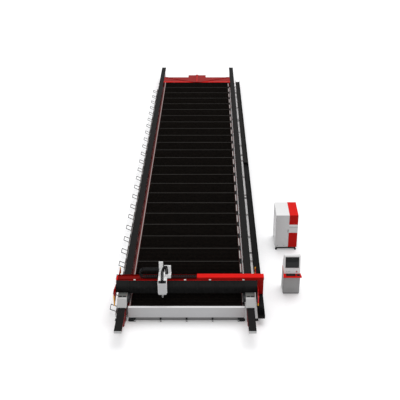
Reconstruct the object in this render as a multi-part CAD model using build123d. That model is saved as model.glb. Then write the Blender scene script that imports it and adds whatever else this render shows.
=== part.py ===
from build123d import *
import math
import os

# Long-bed gantry laser cutting machine, in millimetres.
# X runs across the bed, Y along it from the operator's end to the far end, Z up from the floor.
# Shapes are drawn about the centre line of the bed. The last step moves them all by one shift,
# so that the origin is on the floor, at the middle of the whole machine's outline.

# Bed: modules in a row, with a slat bed between two ground rails
MODULES = 25
MODULE_PITCH = 1010.0
TABLE_START = -13450.0
SLATS_PER_MODULE = 10
SLAT_HALF = 2120.0
SLAT_THICK = 6.0
SLAT_HEIGHT = 120.0
SLAT_TOP = 700.0
LEDGE_THICK = 20.0
LEDGE_DEPTH = 110.0
SIDE_RAIL_WIDTH = 100.0
SIDE_RAIL_HEIGHT = 100.0
SIDE_GAP = 20.0
SIDE_RAIL_SLOT = 150.0
TABLE_LEG = 80.0
CROSS_TUBE_WIDTH = 60.0
CROSS_TUBE_HEIGHT = 80.0
SUPPORT_LINES = 3
SUPPORT_SPACING = 1050.0
SUPPORT_WIDTH = 40.0
BASE_PLATE_THICK = 20.0
BASE_PLATE_WIDTH = 140.0

# Scrap drawers under the slats, drawn out to the left
DRAWER_WIDTH = 840.0
DRAWER_BOTTOM = 60.0
DRAWER_HEIGHT = 180.0
DRAWER_WALL = 4.0
DRAWER_FRONT_X = -2760.0
DRAWER_BACK_GAP = 19.7
RUNNER_SIZE = 40.0
RUNNER_OVERLAP = 35.0
HANDLE_SPAN = 340.0
HANDLE_BAR = 24.0
HANDLE_REACH = 230.0
HANDLE_RISE = 110.0
HANDLE_ROOT_HEIGHT = 80.0

# Ground rails: a welded box with an inner web, which carries the guard over guide and rack
RAIL_LENGTH = 30000.0
RAIL_SECTIONS = 6
RAIL_SECTION_LENGTH = 5010.0
RAIL_FIRST_LENGTH = 5850.0
REAR_LEG_INSET = 1500.0
RAIL_X = 2440.0
RAIL_WIDTH = 220.0
RAIL_BOTTOM = 300.0
RAIL_BEAM_TOP = 560.0
RAIL_WALL = 12.0
WEB_THICK = 15.0
FLANGE_THICK = 20.0
FLANGE_PROUD = 30.0
SECTION_GAP = 2.0
LEG_WIDTH = 160.0
LEG_DEPTH = 90.0
PAD_OUT = 220.0
GUARD_TOP = 720.0
GUARD_SHEET = 4.0
GUARD_OUT = 44.0
GUARD_FOLD = 20.0
GUARD_DRIP = 22.0
END_CAP_HEIGHT = 100.0
END_CAP_THICK = 11.0
GUARD_REACH = 800.0
BRACE_THICK = 15.0
GUIDE_WIDTH = 45.0
GUIDE_HEIGHT = 40.0
RACK_SIZE = 39.0
RACK_BOTTOM = 500.0
RACK_INSET = 60.0

# Front panel and rear beam close the two ends of the bed
PANEL_HALF = RAIL_X - 215.0
PANEL_DEPTH = 100.0
PANEL_BOTTOM = 235.0
PANEL_SHEET = 4.0
REAR_SHEET = 10.0
PANEL_FEET = 5
PANEL_FOOT_SPACING = 1000.0
REAR_DEPTH = 1060.0
REAR_BOTTOM = 340.0
REAR_TOP = 740.0
REAR_BLOCK_WIDTH = 1220.0
REAR_BLOCK_DEPTH = 450.0
REAR_RIB_WIDTH = 170.0
REAR_RIB_HEIGHT = 40.0

# Exhaust duct on the right, under the slats
DUCT_WIDTH = 290.0
DUCT_BOTTOM = 100.0
DUCT_HEIGHT = 380.0
DUCT_SHEET = 4.0
DUCT_MOUTH_WIDTH = 600.0
DUCT_MOUTH_HEIGHT = 220.0
DUCT_COLLAR_RADIUS = 110.0
DUCT_COLLAR_LENGTH = 120.0
DUCT_COLLAR_WALL = 4.0

# Gantry: trucks on the rails, a chamfered box beam across
GANTRY_Y = -12670.0
BEAM_DEPTH = 420.0
BEAM_BOTTOM = 950.0
BEAM_TOP = 1400.0
BEAM_CHAMFER = 140.0
BEAM_WALL = 12.0
BEAM_HALF = RAIL_X + 285.0
WING_THICK = 30.0
WING_FRONT = 630.0
WING_REAR = 1050.0
WING_LOW = 780.0
WING_HIGH = 1320.0
WING_ARM_LOW = 850.0
WING_ARM_HIGH = 980.0
LIGHT_STRIP = 40.0
LIGHT_FRONT_HEIGHT = 440.0
LIGHT_REAR_HEIGHT = 290.0
LAMP_WIDTH = 80.0
LAMP_PLACES = (-2006.0, -61.0, 901.0, 2190.0)
TRUCK_PLATE_BOTTOM = 660.0
TRUCK_PLATE_THICK = 30.0
TRUCK_RISER_THICK = 20.0
TRUCK_TOP_THICK = 20.0
TRUCK_FRONT = 780.0
TRUCK_REAR = 220.0
TRUCK_CLEARANCE = 10.0
BLOCK_WIDTH = 120.0
BLOCK_LENGTH = 160.0
BLOCK_BOTTOM = 572.0
RUNNING_GAP = 0.3
COVER_SHEET = 3.0
COVER_INNER_X = RAIL_X - 172.0
COVER_NOSE = 210.0
COVER_BOTTOM = 735.0
COVER_TOP = 1000.0
COVER_REAR = 410.0
MOTOR_COVER_X = RAIL_X + 250.0
GEARBOX_SIZE = 84.0
GEARBOX_HEIGHT = 110.0
MOTOR_SIZE = 76.0
MOTOR_HEIGHT = 180.0
MOTOR_BEHIND = 140.0
PINION_TEETH = 20
SHAFT_RADIUS = 15.0

# Cross slide on the beam's front face, behind folding covers
CROSS_GUIDE_WIDTH = 30.0
CROSS_GUIDE_DEPTH = 40.0
CROSS_GUIDE_LOW = 1030.0
CROSS_GUIDE_HIGH = 1190.0
CROSS_RACK_Z = 1095.0
BELLOWS_FRONT = 150.0
BELLOWS_WALL = 30.0
BELLOWS_CORNER = BEAM_TOP - 150.0
BELLOWS_TOP = BEAM_TOP - 5.0
BELLOWS_BOTTOM = 955.0
BELLOWS_END = RAIL_X - 200.0
BELLOWS_FLANGE = 15.0
HEAD_X = -915.0
CARRIAGE_WIDTH = 340.0
CARRIAGE_PLATE = 40.0
CARRIAGE_BOTTOM = 1000.0
BRIDGE_BOTTOM = BEAM_TOP + 135.0
BRIDGE_THICK = 40.0
BRIDGE_RIGHT = 330.0
TOWER_WIDTH = 160.0
TOWER_TOP = BEAM_TOP + 740.0
TOWER_DEPTH = 30.0
BOX_WIDTH = 250.0
BOX_DEPTH = 140.0
BOX_BOTTOM = BEAM_TOP + 112.0
BOX_TOP = BOX_BOTTOM + 148.0
BOX_PLATE_TOP = BOX_TOP + 340.0
Z_COVER_DEPTH = 220.0
Z_COVER_BOTTOM = 1070.0
Z_COVER_TOP = BRIDGE_BOTTOM + BRIDGE_THICK
Z_COVER_SHEET = 4.0
Z_COVER_CORNER = 30.0
NOZZLE_TIP = 830.0
HEAD_BODY = 110.0
HEAD_PLATE_TOP = Z_COVER_TOP - 115.0
HOSE_DIAMETER = 52.0
HOSE_SIDES = 10
HOSE_CROWN = Z_COVER_TOP + 495.0
HOSE_SPACING = 58.0
HOSE_RADII = [200.0, 200.0, 150.0]

# Top of the beam: raised cover on the right, chain tray on the left
TOP_DEPTH = 300.0
TOP_SPLIT_X = 400.0
TOP_COVER_HEIGHT = 100.0
TOP_COVER_SHEET = 4.0
TRAY_LEFT_X = -BEAM_HALF + 65.0
TRAY_SHEET = 4.0
TRAY_LIP = 50.0
ARM_RIGHT_X = BEAM_HALF + 260.0
ARM_BACK = 360.0
ARM_BOX_DEPTH = 180.0
ARM_FOOT = 55.0
ARM_CHEEK = 12.0

# Cable chains
MAIN_RADIUS = 140.0
MAIN_WIDTH = 190.0
MAIN_HEIGHT = 60.0
MAIN_PITCH = 70.0
MAIN_FLOOR = 300.0
MAIN_LOOP_Y = -13340.0
MAIN_FIXED_Y = -460.0
MAIN_TRAY_X = RAIL_X + 290.0
MAIN_TRAY_WIDTH = 270.0
MAIN_TRAY_HEIGHT = 150.0
MAIN_TRAY_START = -13740.0
MAIN_TRAY_END = 13050.0
MAIN_TRAY_PARTS = 5
BRACKET_WIDTH = 60.0
BRACKET_HEIGHT = 50.0
CROSS_RADIUS = 180.0
CROSS_WIDTH = 150.0
CROSS_HEIGHT = 60.0
CROSS_PITCH = 70.0
CROSS_LOOP_X = -1630.0
CROSS_FIXED_X = 380.0
CHAIN_PLATE = 10.0
CHAIN_BAR = 12.0
CHAIN_SHEET_GAP = 4.0
LINK_GAP = 0.5

# Free-standing operator's console
CONSOLE_X = 4195.0
CONSOLE_WIDTH = 670.0
CONSOLE_FRONT = -11755.0
CONSOLE_DEPTH = 600.0
CONSOLE_PLINTH = 40.0
CONSOLE_DESK = 930.0
CONSOLE_TOP = 1720.0
CONSOLE_SHEET = 4.0
DOOR_THICK = 20.0
DOOR_MARGIN = 25.0
DOOR_FRAME = 40.0
DOOR_GAP = 0.5
HINGE_RADIUS = 8.0
HINGE_LENGTH = 60.0
SHELF_THICK = 60.0
SHELF_REACH = 205.0
SHELF_FLARE = 35.0
SCREEN_WIDTH = 540.0
SCREEN_HEIGHT = 440.0
SCREEN_THICK = 12.0
STOP_X_FROM_MIDDLE = 180.0
STOP_RADIUS = 24.0
STOP_STEM = 12.0
STOP_BORE_GAP = 0.5

# Free-standing cabinet for the laser source and its cooler
CABINET_X = 4295.0
CABINET_WIDTH = 970.0
CABINET_FRONT = -8460.0
CABINET_DEPTH = 1190.0
CABINET_BOTTOM = 145.0
CABINET_TOP = 1774.0
TRIM_WIDTH = 385.0
TRIM_THICK = 6.0
CABINET_SHEET = 3.0
CABINET_FOOT = 80.0
CABINET_FOOT_HEIGHT = 40.0
TRIM_BAND_LOW = 890.0
TRIM_BAND_HIGH = 1310.0

# Sizes that follow from the ones above
TABLE_LENGTH = MODULES * MODULE_PITCH
TABLE_END = TABLE_START + TABLE_LENGTH
RAIL_INNER = RAIL_X - RAIL_WIDTH / 2
RAIL_OUTER = RAIL_X + RAIL_WIDTH / 2
WEB_INNER = RAIL_INNER - WEB_THICK
GUARD_INNER = WEB_INNER - GUARD_SHEET
GUARD_OUTER = RAIL_OUTER + GUARD_OUT
RISER_OUTER = GUARD_OUTER + TRUCK_CLEARANCE + TRUCK_RISER_THICK
RACK_OUTER = RAIL_OUTER + RACK_SIZE
SLAT_BOTTOM = SLAT_TOP - SLAT_HEIGHT
LEDGE_BOTTOM = SLAT_BOTTOM - LEDGE_THICK
SIDE_RAIL_INNER = SLAT_HALF + SIDE_GAP
SIDE_RAIL_OUTER = SIDE_RAIL_INNER + SIDE_RAIL_WIDTH
BEAM_FRONT = GANTRY_Y - BEAM_DEPTH / 2
BEAM_BACK = GANTRY_Y + BEAM_DEPTH / 2
BELLOWS_FACE = BEAM_FRONT - BELLOWS_FRONT
CARRIAGE_FRONT = BELLOWS_FACE - 20.0
CARRIAGE_BACK = CARRIAGE_FRONT + CARRIAGE_PLATE
TOP_FRONT = BEAM_BACK - TOP_DEPTH
TOP_MIDDLE = BEAM_BACK - TOP_DEPTH / 2
MAIN_LOW_Z = MAIN_FLOOR + CHAIN_SHEET_GAP + MAIN_HEIGHT / 2
MAIN_HIGH_Z = MAIN_LOW_Z + 2 * MAIN_RADIUS
MAIN_CHAIN_X = MAIN_TRAY_X + MAIN_TRAY_WIDTH / 2
CROSS_LOW_Z = BEAM_TOP + TRAY_SHEET + CHAIN_SHEET_GAP + CROSS_HEIGHT / 2
CROSS_HIGH_Z = CROSS_LOW_Z + 2 * CROSS_RADIUS
TOWER_LEFT = HEAD_X - CARRIAGE_WIDTH / 2 + 25.0
CONSOLE_LEFT = CONSOLE_X - CONSOLE_WIDTH / 2
CONSOLE_RIGHT = CONSOLE_X + CONSOLE_WIDTH / 2
CONSOLE_BACK = CONSOLE_FRONT + CONSOLE_DEPTH
CABINET_LEFT = CABINET_X - CABINET_WIDTH / 2
CABINET_RIGHT = CABINET_X + CABINET_WIDTH / 2
CABINET_BACK = CABINET_FRONT + CABINET_DEPTH
HANDLE_X = DRAWER_FRONT_X - HANDLE_REACH
DUCT_LEFT = SIDE_RAIL_INNER - RUNNING_GAP - DUCT_WIDTH
DRAWER_BACK_X = DUCT_LEFT - DRAWER_BACK_GAP
SHIFT_X = -(HANDLE_X - HANDLE_BAR / 2 + CABINET_RIGHT) / 2


def block(xs, ys, zs):
    """A box between two X, two Y and two Z values."""
    size = [abs(pair[1] - pair[0]) for pair in (xs, ys, zs)]
    middle = [(pair[1] + pair[0]) / 2 for pair in (xs, ys, zs)]
    return Pos(*middle) * Box(*size)


def along_x(points, x0, x1):
    """A prism: an outline of (y, z) points, drawn out along X."""
    face = make_face(Polyline(*[(x0, y, z) for y, z in points], close=True))
    return extrude(face, amount=abs(x1 - x0), dir=(math.copysign(1, x1 - x0), 0, 0))


def along_y(points, y0, y1):
    """A prism: an outline of (x, z) points, drawn out along Y."""
    face = make_face(Polyline(*[(x, y0, z) for x, z in points], close=True))
    return extrude(face, amount=abs(y1 - y0), dir=(0, math.copysign(1, y1 - y0), 0))


def along_z(points, z0, z1):
    """A prism: an outline of (x, y) points, drawn out along Z."""
    face = make_face(Polyline(*[(x, y, z0) for x, y in points], close=True))
    return extrude(face, amount=abs(z1 - z0), dir=(0, 0, math.copysign(1, z1 - z0)))


def plates(xs, ys, zs, sheet, leave=""):
    """The walls of a box as plates that meet edge to edge. The named walls are left out."""
    (x0, x1), (y0, y1), (z0, z1) = sorted(xs), sorted(ys), sorted(zs)
    low = z0 if "bottom" in leave else z0 + sheet
    high = z1 if "top" in leave else z1 - sheet
    near = y0 if "front" in leave else y0 + sheet
    far = y1 if "back" in leave else y1 - sheet
    walls = {
        "bottom": ((x0, x1), (y0, y1), (z0, z0 + sheet)),
        "top": ((x0, x1), (y0, y1), (z1 - sheet, z1)),
        "front": ((x0, x1), (y0, y0 + sheet), (low, high)),
        "back": ((x0, x1), (y1 - sheet, y1), (low, high)),
        "left": ((x0, x0 + sheet), (near, far), (low, high)),
        "right": ((x1 - sheet, x1), (near, far), (low, high)),
    }
    return [block(*wall) for name, wall in walls.items() if name not in leave]


def inset(points, depth):
    """A convex outline with every edge moved inwards."""
    middle_a = sum(a for a, b in points) / len(points)
    middle_b = sum(b for a, b in points) / len(points)
    lines = []
    for i, (a, b) in enumerate(points):
        next_a, next_b = points[(i + 1) % len(points)]
        length = math.hypot(next_a - a, next_b - b)
        normal_a, normal_b = (b - next_b) / length, (next_a - a) / length
        if normal_a * (middle_a - a) + normal_b * (middle_b - b) < 0:
            normal_a, normal_b = -normal_a, -normal_b
        lines.append((normal_a, normal_b, normal_a * a + normal_b * b + depth))
    corners = []
    for i in range(len(points)):
        p, q = lines[i - 1], lines[i]
        area = p[0] * q[1] - p[1] * q[0]
        corner_a = (p[2] * q[1] - p[1] * q[2]) / area
        corner_b = (p[0] * q[2] - p[2] * q[0]) / area
        corners.append((corner_a, corner_b))
    return corners


def folded(outline, sheet, x0, x1, leave=()):
    """The walls along a convex (y, z) outline as mitred plates. Numbered edges are left out."""
    inner = inset(outline, sheet)
    walls = []
    for i in range(len(outline)):
        j = (i + 1) % len(outline)
        if i not in leave:
            walls.append(along_x([outline[i], outline[j], inner[j], inner[i]], x0, x1))
    return walls


def save(name, shapes):
    """Write one sub-part as a STEP file, moved to the machine's own origin."""
    solids = []
    for shape in shapes:
        solids += shape.solids()
    moved = [Pos(SHIFT_X, 0, 0) * solid for solid in solids]
    export_step(Compound(moved) if len(moved) > 1 else moved[0], "parts/" + name + ".step")


def boundaries():
    """The module boundaries along the bed, with both ends."""
    return [TABLE_START + MODULE_PITCH * i for i in range(MODULES + 1)]


def spans(start, end, count, gap=0.0):
    """Equal stretches between two ends, with a gap between neighbours."""
    step = (end - start) / count
    return [(start + step * i + gap / 2, start + step * (i + 1) - gap / 2) for i in range(count)]


def rail_spans(gap=0.0):
    """The rail sections: a long first one at the operator's end, equal ones, and the rest."""
    ends = [-RAIL_LENGTH / 2]
    for i in range(RAIL_SECTIONS - 1):
        ends.append(-RAIL_LENGTH / 2 + RAIL_FIRST_LENGTH + RAIL_SECTION_LENGTH * i)
    ends.append(RAIL_LENGTH / 2)
    return [(a + gap / 2, b - gap / 2) for a, b in zip(ends[:-1], ends[1:])]


def box_spans():
    """The same sections, less the stretch at each end where only the guard reaches on."""
    reach = RAIL_LENGTH / 2 - GUARD_REACH
    return [(max(a, -reach), min(b, reach)) for a, b in rail_spans()]


def leg_places():
    """Rail legs stand at every second module boundary and behind the bed."""
    rear_leg = RAIL_LENGTH / 2 - REAR_LEG_INSET
    return boundaries()[::2] + [TABLE_END + MODULE_PITCH, rear_leg]


# Ground rails
def rail_section(side, y0, y1):
    """One bolted length of ground rail, welded from plates, with its end plates and its legs."""
    inner, outer = side * RAIL_INNER, side * RAIL_OUTER
    ends = (y0 + FLANGE_THICK, y1 - FLANGE_THICK)
    between = (inner, outer - side * RAIL_WALL)
    web_top = GUARD_TOP - GUARD_SHEET
    pieces = [block((side * WEB_INNER, inner), (y0, y1), (RAIL_BOTTOM, web_top))]
    pieces.append(block((outer - side * RAIL_WALL, outer), ends, (RAIL_BOTTOM, RAIL_BEAM_TOP)))
    pieces.append(block(between, ends, (RAIL_BOTTOM, RAIL_BOTTOM + RAIL_WALL)))
    pieces.append(block(between, ends, (RAIL_BEAM_TOP - RAIL_WALL, RAIL_BEAM_TOP)))
    for end in ((y0, ends[0]), (ends[1], y1)):
        pieces.append(block((inner, outer), end, (RAIL_BOTTOM, RAIL_BEAM_TOP)))
        pieces.append(block((inner, outer), end, (RAIL_BOTTOM - FLANGE_PROUD, RAIL_BOTTOM)))
        ear_z = (RAIL_BOTTOM - FLANGE_PROUD, RACK_BOTTOM - 10.0)
        pieces.append(block((outer, outer + side * FLANGE_PROUD), end, ear_z))
    for y in leg_places():
        if y0 < y < y1:
            leg_x = (side * (RAIL_X - LEG_WIDTH / 2), side * (RAIL_X + LEG_WIDTH / 2))
            pad_x = (inner, outer + side * PAD_OUT)
            leg_y = (y - LEG_DEPTH / 2, y + LEG_DEPTH / 2)
            pieces.append(block(leg_x, leg_y, (BASE_PLATE_THICK, RAIL_BOTTOM)))
            pad_y = (y - BASE_PLATE_WIDTH / 2, y + BASE_PLATE_WIDTH / 2)
            pieces.append(block(pad_x, pad_y, (0, BASE_PLATE_THICK)))
    return pieces


def rail_brace(side, end):
    """The triangular plate that props the rail's overhang from the last leg at one end."""
    foot = TABLE_START - LEG_DEPTH / 2
    if end > 0:
        foot = RAIL_LENGTH / 2 - REAR_LEG_INSET + LEG_DEPTH / 2
    tip = end * (RAIL_LENGTH / 2 - GUARD_REACH - FLANGE_THICK)
    outline = [(foot, BASE_PLATE_THICK), (foot, RAIL_BOTTOM), (tip, RAIL_BOTTOM)]
    return along_x(outline, side * RAIL_INNER, side * (RAIL_INNER + BRACE_THICK))


def guard_arm(side, end):
    """The shallow bar that carries the guard past the end of the rail's box."""
    reach = (end * (RAIL_LENGTH / 2 - GUARD_REACH), end * RAIL_LENGTH / 2)
    height = (GUARD_TOP - END_CAP_HEIGHT, GUARD_TOP - GUARD_SHEET)
    return block((side * WEB_INNER, side * RAIL_INNER), reach, height)


def rail_beams():
    pieces = []
    for side in (-1, 1):
        for y0, y1 in box_spans():
            pieces += rail_section(side, y0, y1)
        pieces += [rail_brace(side, -1), rail_brace(side, 1)]
        pieces += [guard_arm(side, -1), guard_arm(side, 1)]
    return pieces


def rail_guards():
    """Folded sheet guards, fixed to the inner web and open to the outside, with end caps."""
    low = GUARD_TOP - GUARD_SHEET
    pieces = []
    for side in (-1, 1):
        inner, outer = side * GUARD_INNER, side * GUARD_OUTER
        web, lip = side * WEB_INNER, side * (GUARD_OUTER - GUARD_SHEET)
        for span in rail_spans(SECTION_GAP):
            pieces.append(block((inner, outer), span, (low, GUARD_TOP)))
            pieces.append(block((inner, web), span, (GUARD_TOP - GUARD_FOLD, low)))
            pieces.append(block((lip, outer), span, (GUARD_TOP - GUARD_DRIP, low)))
        for end in (-1, 1):
            face = end * RAIL_LENGTH / 2
            cap_y = (face, face + end * END_CAP_THICK)
            pieces.append(block((inner, outer), cap_y, (GUARD_TOP - END_CAP_HEIGHT, GUARD_TOP)))
    return pieces


def rails_and_racks():
    """The linear guides on top of the rails and the racks on their outer faces."""
    pieces = []
    across = (RAIL_X - GUIDE_WIDTH / 2, RAIL_X + GUIDE_WIDTH / 2)
    guide_z = (RAIL_BEAM_TOP, RAIL_BEAM_TOP + GUIDE_HEIGHT)
    rack_z = (RACK_BOTTOM, RACK_BOTTOM + RACK_SIZE)
    for side in (-1, 1):
        for y0, y1 in box_spans():
            reach = RAIL_LENGTH / 2 - GUARD_REACH - RACK_INSET
            ends = (max(y0, -reach), min(y1, reach))
            pieces.append(block((side * across[0], side * across[1]), ends, guide_z))
            pieces.append(block((side * RAIL_OUTER, side * RACK_OUTER), ends, rack_z))
    return pieces


# Table
def table_frame():
    pieces = []
    leg_inner = SIDE_RAIL_INNER
    leg_outer = SIDE_RAIL_INNER + TABLE_LEG
    rail_bottom = SLAT_TOP - SIDE_RAIL_HEIGHT
    for y in boundaries():
        width = (y - TABLE_LEG / 2, y + TABLE_LEG / 2)
        tube = (y - CROSS_TUBE_WIDTH / 2, y + CROSS_TUBE_WIDTH / 2)
        for side in (-1, 1):
            leg_z = (BASE_PLATE_THICK, rail_bottom)
            pieces.append(block((side * leg_inner, side * leg_outer), width, leg_z))
            base_x = (side * (leg_inner - 40.0), side * (leg_outer + 40.0))
            base_y = (y - BASE_PLATE_WIDTH / 2, y + BASE_PLATE_WIDTH / 2)
            pieces.append(block(base_x, base_y, (0, BASE_PLATE_THICK)))
        height = (LEDGE_BOTTOM - CROSS_TUBE_HEIGHT, LEDGE_BOTTOM)
        pieces.append(block((-leg_inner, leg_inner), tube, height))
    start, end = TABLE_START - TABLE_LEG / 2, TABLE_END + TABLE_LEG / 2
    rail_z = (rail_bottom, SLAT_TOP)
    for y0, y1 in spans(start, end, 5):
        pieces.append(block((-SIDE_RAIL_OUTER, -SIDE_RAIL_INNER), (y0, y1), rail_z))
        for side in (-1, 1):
            ledge_x = (side * (SIDE_RAIL_INNER - LEDGE_DEPTH), side * SIDE_RAIL_INNER)
            pieces.append(block(ledge_x, (y0, y1), (LEDGE_BOTTOM, SLAT_BOTTOM)))
        for line in range(SUPPORT_LINES):
            x = (line - (SUPPORT_LINES - 1) / 2) * SUPPORT_SPACING
            bar_x = (x - SUPPORT_WIDTH / 2, x + SUPPORT_WIDTH / 2)
            pieces.append(block(bar_x, (y0, y1), (LEDGE_BOTTOM, SLAT_BOTTOM)))
    for y in boundaries()[:-1]:
        cover_y = (y + SIDE_RAIL_SLOT / 2, y + MODULE_PITCH - SIDE_RAIL_SLOT / 2)
        pieces.append(block((SIDE_RAIL_INNER, SIDE_RAIL_OUTER), cover_y, rail_z))
    shelf_z = (rail_bottom - 10.0, rail_bottom)
    shelf_x = (SIDE_RAIL_INNER + TABLE_LEG, SIDE_RAIL_OUTER)
    pieces.append(block(shelf_x, (start, end), shelf_z))
    pieces += drawer_runners()
    return pieces


def drawer_runners():
    """Bars along both edges of each drawer, held between the legs of the two sides."""
    pieces = []
    height = (DRAWER_BOTTOM - RUNNER_SIZE, DRAWER_BOTTOM - RUNNING_GAP)
    inner = SIDE_RAIL_INNER
    for y in boundaries():
        edge = MODULE_PITCH / 2 - DRAWER_WIDTH / 2 + RUNNER_OVERLAP
        y0 = y - edge if y > TABLE_START else y - TABLE_LEG / 2
        y1 = y + edge if y < TABLE_END - 1 else y + TABLE_LEG / 2
        pieces.append(block((-inner, inner), (y0, y1), height))
    return pieces


def slats():
    pieces = []
    pitch = MODULE_PITCH / SLATS_PER_MODULE
    for i in range(MODULES * SLATS_PER_MODULE):
        y = TABLE_START + pitch * (i + 0.5)
        thickness = (y - SLAT_THICK / 2, y + SLAT_THICK / 2)
        pieces.append(block((-SLAT_HALF, SLAT_HALF), thickness, (SLAT_BOTTOM, SLAT_TOP)))
    return pieces


def drawer(index):
    """A folded scrap tray with a bent bar handle welded to its front."""
    middle = TABLE_START + MODULE_PITCH * (index + 0.5)
    ys = (middle - DRAWER_WIDTH / 2, middle + DRAWER_WIDTH / 2)
    zs = (DRAWER_BOTTOM, DRAWER_BOTTOM + DRAWER_HEIGHT)
    pieces = plates((DRAWER_FRONT_X, DRAWER_BACK_X), ys, zs, DRAWER_WALL, "top")
    root = DRAWER_BOTTOM + HANDLE_ROOT_HEIGHT
    tip = root + HANDLE_RISE
    half = HANDLE_BAR / 2
    leg = [
        (DRAWER_FRONT_X, root - half),
        (DRAWER_FRONT_X, root + half),
        (HANDLE_X + half, tip + half),
        (HANDLE_X + half, tip - half),
    ]
    ends = (middle - HANDLE_SPAN / 2, middle + HANDLE_SPAN / 2)
    pieces.append(block((HANDLE_X - half, HANDLE_X + half), ends, (tip - half, tip + half)))
    for y in (ends[0], ends[1] - HANDLE_BAR):
        pieces.append(along_y(leg, y, y + HANDLE_BAR))
    return pieces


def front_panel():
    """The hollow box panel across the operator's end, on small feet."""
    back = TABLE_START - TABLE_LEG / 2
    front = back - PANEL_DEPTH
    pieces = plates((-PANEL_HALF, PANEL_HALF), (front, back), (PANEL_BOTTOM, SLAT_TOP), PANEL_SHEET, "bottom")
    middle = (front + back) / 2
    for i in range(PANEL_FEET):
        x = (i - (PANEL_FEET - 1) / 2) * PANEL_FOOT_SPACING
        stud_z = (15.0, SLAT_TOP - PANEL_SHEET)
        pieces.append(block((x - 12.0, x + 12.0), (middle - 12.0, middle + 12.0), stud_z))
        pieces.append(block((x - 35.0, x + 35.0), (middle - 35.0, middle + 35.0), (0, 15.0)))
    return pieces


def rear_beam():
    """The box beam that ties the two rails behind the slats, with a middle block and braces."""
    y0 = TABLE_END + TABLE_LEG / 2
    y1 = y0 + REAR_DEPTH
    y2 = y1 + REAR_BLOCK_DEPTH
    deck = REAR_TOP - REAR_RIB_HEIGHT
    half, rib = REAR_BLOCK_WIDTH / 2, REAR_RIB_WIDTH / 2
    zs = (REAR_BOTTOM, deck)
    pieces = plates((-WEB_INNER, WEB_INNER), (y0, y1), zs, REAR_SHEET, "bottom")
    pieces += plates((-half, half), (y1, y2), zs, REAR_SHEET, "bottom front")
    pieces.append(block((-rib, rib), (y0, y2), (deck, REAR_TOP)))
    for side in (-1, 1):
        brace = [
            (side * rib, y0),
            (side * (rib + 150.0), y0),
            (side * (WEB_INNER - 60.0), y1 - 70.0),
            (side * (WEB_INNER - 60.0), y1),
            (side * (WEB_INNER - 200.0), y1),
            (side * rib, y0 + 70.0),
        ]
        pieces.append(along_z(brace, deck, deck + REAR_RIB_HEIGHT / 2))
    return pieces


def exhaust_duct():
    """The suction duct along the right side: a mouth in each module, a round outlet at the rear."""
    x1 = SIDE_RAIL_INNER - RUNNING_GAP
    x0 = DUCT_LEFT
    start, end = TABLE_START, TABLE_END
    z0, z1 = DUCT_BOTTOM, DUCT_BOTTOM + DUCT_HEIGHT - RUNNING_GAP
    sheet = DUCT_SHEET
    pieces = plates((x0, x1), (start, end), (z0, z1), sheet, "left back")
    middle_z = (z0 + z1) / 2
    mouth_z = (middle_z - DUCT_MOUTH_HEIGHT / 2, middle_z + DUCT_MOUTH_HEIGHT / 2)
    wall_x, near, far = (x0, x0 + sheet), start + sheet, end - sheet
    pieces.append(block(wall_x, (near, far), (z0 + sheet, mouth_z[0])))
    pieces.append(block(wall_x, (near, far), (mouth_z[1], z1 - sheet)))
    for y in boundaries():
        post = (MODULE_PITCH - DUCT_MOUTH_WIDTH) / 2
        post_y = (max(near, y - post), min(far, y + post))
        pieces.append(block(wall_x, post_y, mouth_z))
    lift = (Align.CENTER, Align.CENTER, Align.MIN)
    back = block((x0, x1 - sheet), (end - sheet, end), (z0 + sheet, z1 - sheet))
    outlet_z = z0 + DUCT_COLLAR_RADIUS + sheet
    outlet = Pos((x0 + x1) / 2, end - sheet, outlet_z) * Rot(-90, 0, 0)
    back += outlet * Cylinder(DUCT_COLLAR_RADIUS, DUCT_COLLAR_LENGTH, align=lift)
    back -= outlet * Cylinder(DUCT_COLLAR_RADIUS - DUCT_COLLAR_WALL, DUCT_COLLAR_LENGTH, align=lift)
    pieces.append(back)
    return pieces


# Cable chains
def chain_link(width, height, length):
    """One link about its own middle: two side plates joined by a cross bar at top and bottom."""
    half = width / 2
    plate = block((-half, -half + CHAIN_PLATE), (-length / 2, length / 2), (-height / 2, height / 2))
    plate += block((half - CHAIN_PLATE, half), (-length / 2, length / 2), (-height / 2, height / 2))
    bar = CHAIN_BAR / 2
    for z in (-height / 2, height / 2 - bar):
        plate += block((-half, half), (-length / 4, length / 4), (z, z + bar))
    return plate


def chain_arc(width, height, radius, count):
    """Links round a half circle in the YZ plane, which bulges towards -Y, about the X axis."""
    length = math.pi * radius / count
    inner = 2 * (radius - height / 2) * math.tan(math.pi / 2 / count)
    link = chain_link(width, height, min(length, inner) - LINK_GAP)
    links = []
    for i in range(count):
        turn = 180.0 * (i + 0.5) / count
        links.append(Rot(-turn, 0, 0) * Pos(0, 0, -radius) * link)
    return links


def chain_run(width, height, start, end, pitch):
    """Links in a straight row along Y, about Z = 0."""
    count = max(1, round(abs(end - start) / pitch))
    step = (end - start) / count
    link = chain_link(width, height, abs(step) - LINK_GAP)
    return [Pos(0, start + step * (i + 0.5), 0) * link for i in range(count)]


def turn_to_x(shapes, x, y, z):
    """Turn links drawn along Y so that they run along X, then move them to their place."""
    return [Pos(x, y, z) * Rot(0, 0, -90) * shape for shape in shapes]


def main_chain_loop():
    arc = chain_arc(MAIN_WIDTH, MAIN_HEIGHT, MAIN_RADIUS, 7)
    middle = Pos(MAIN_CHAIN_X, MAIN_LOOP_Y, MAIN_LOW_Z + MAIN_RADIUS)
    return [middle * link for link in arc]


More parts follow.
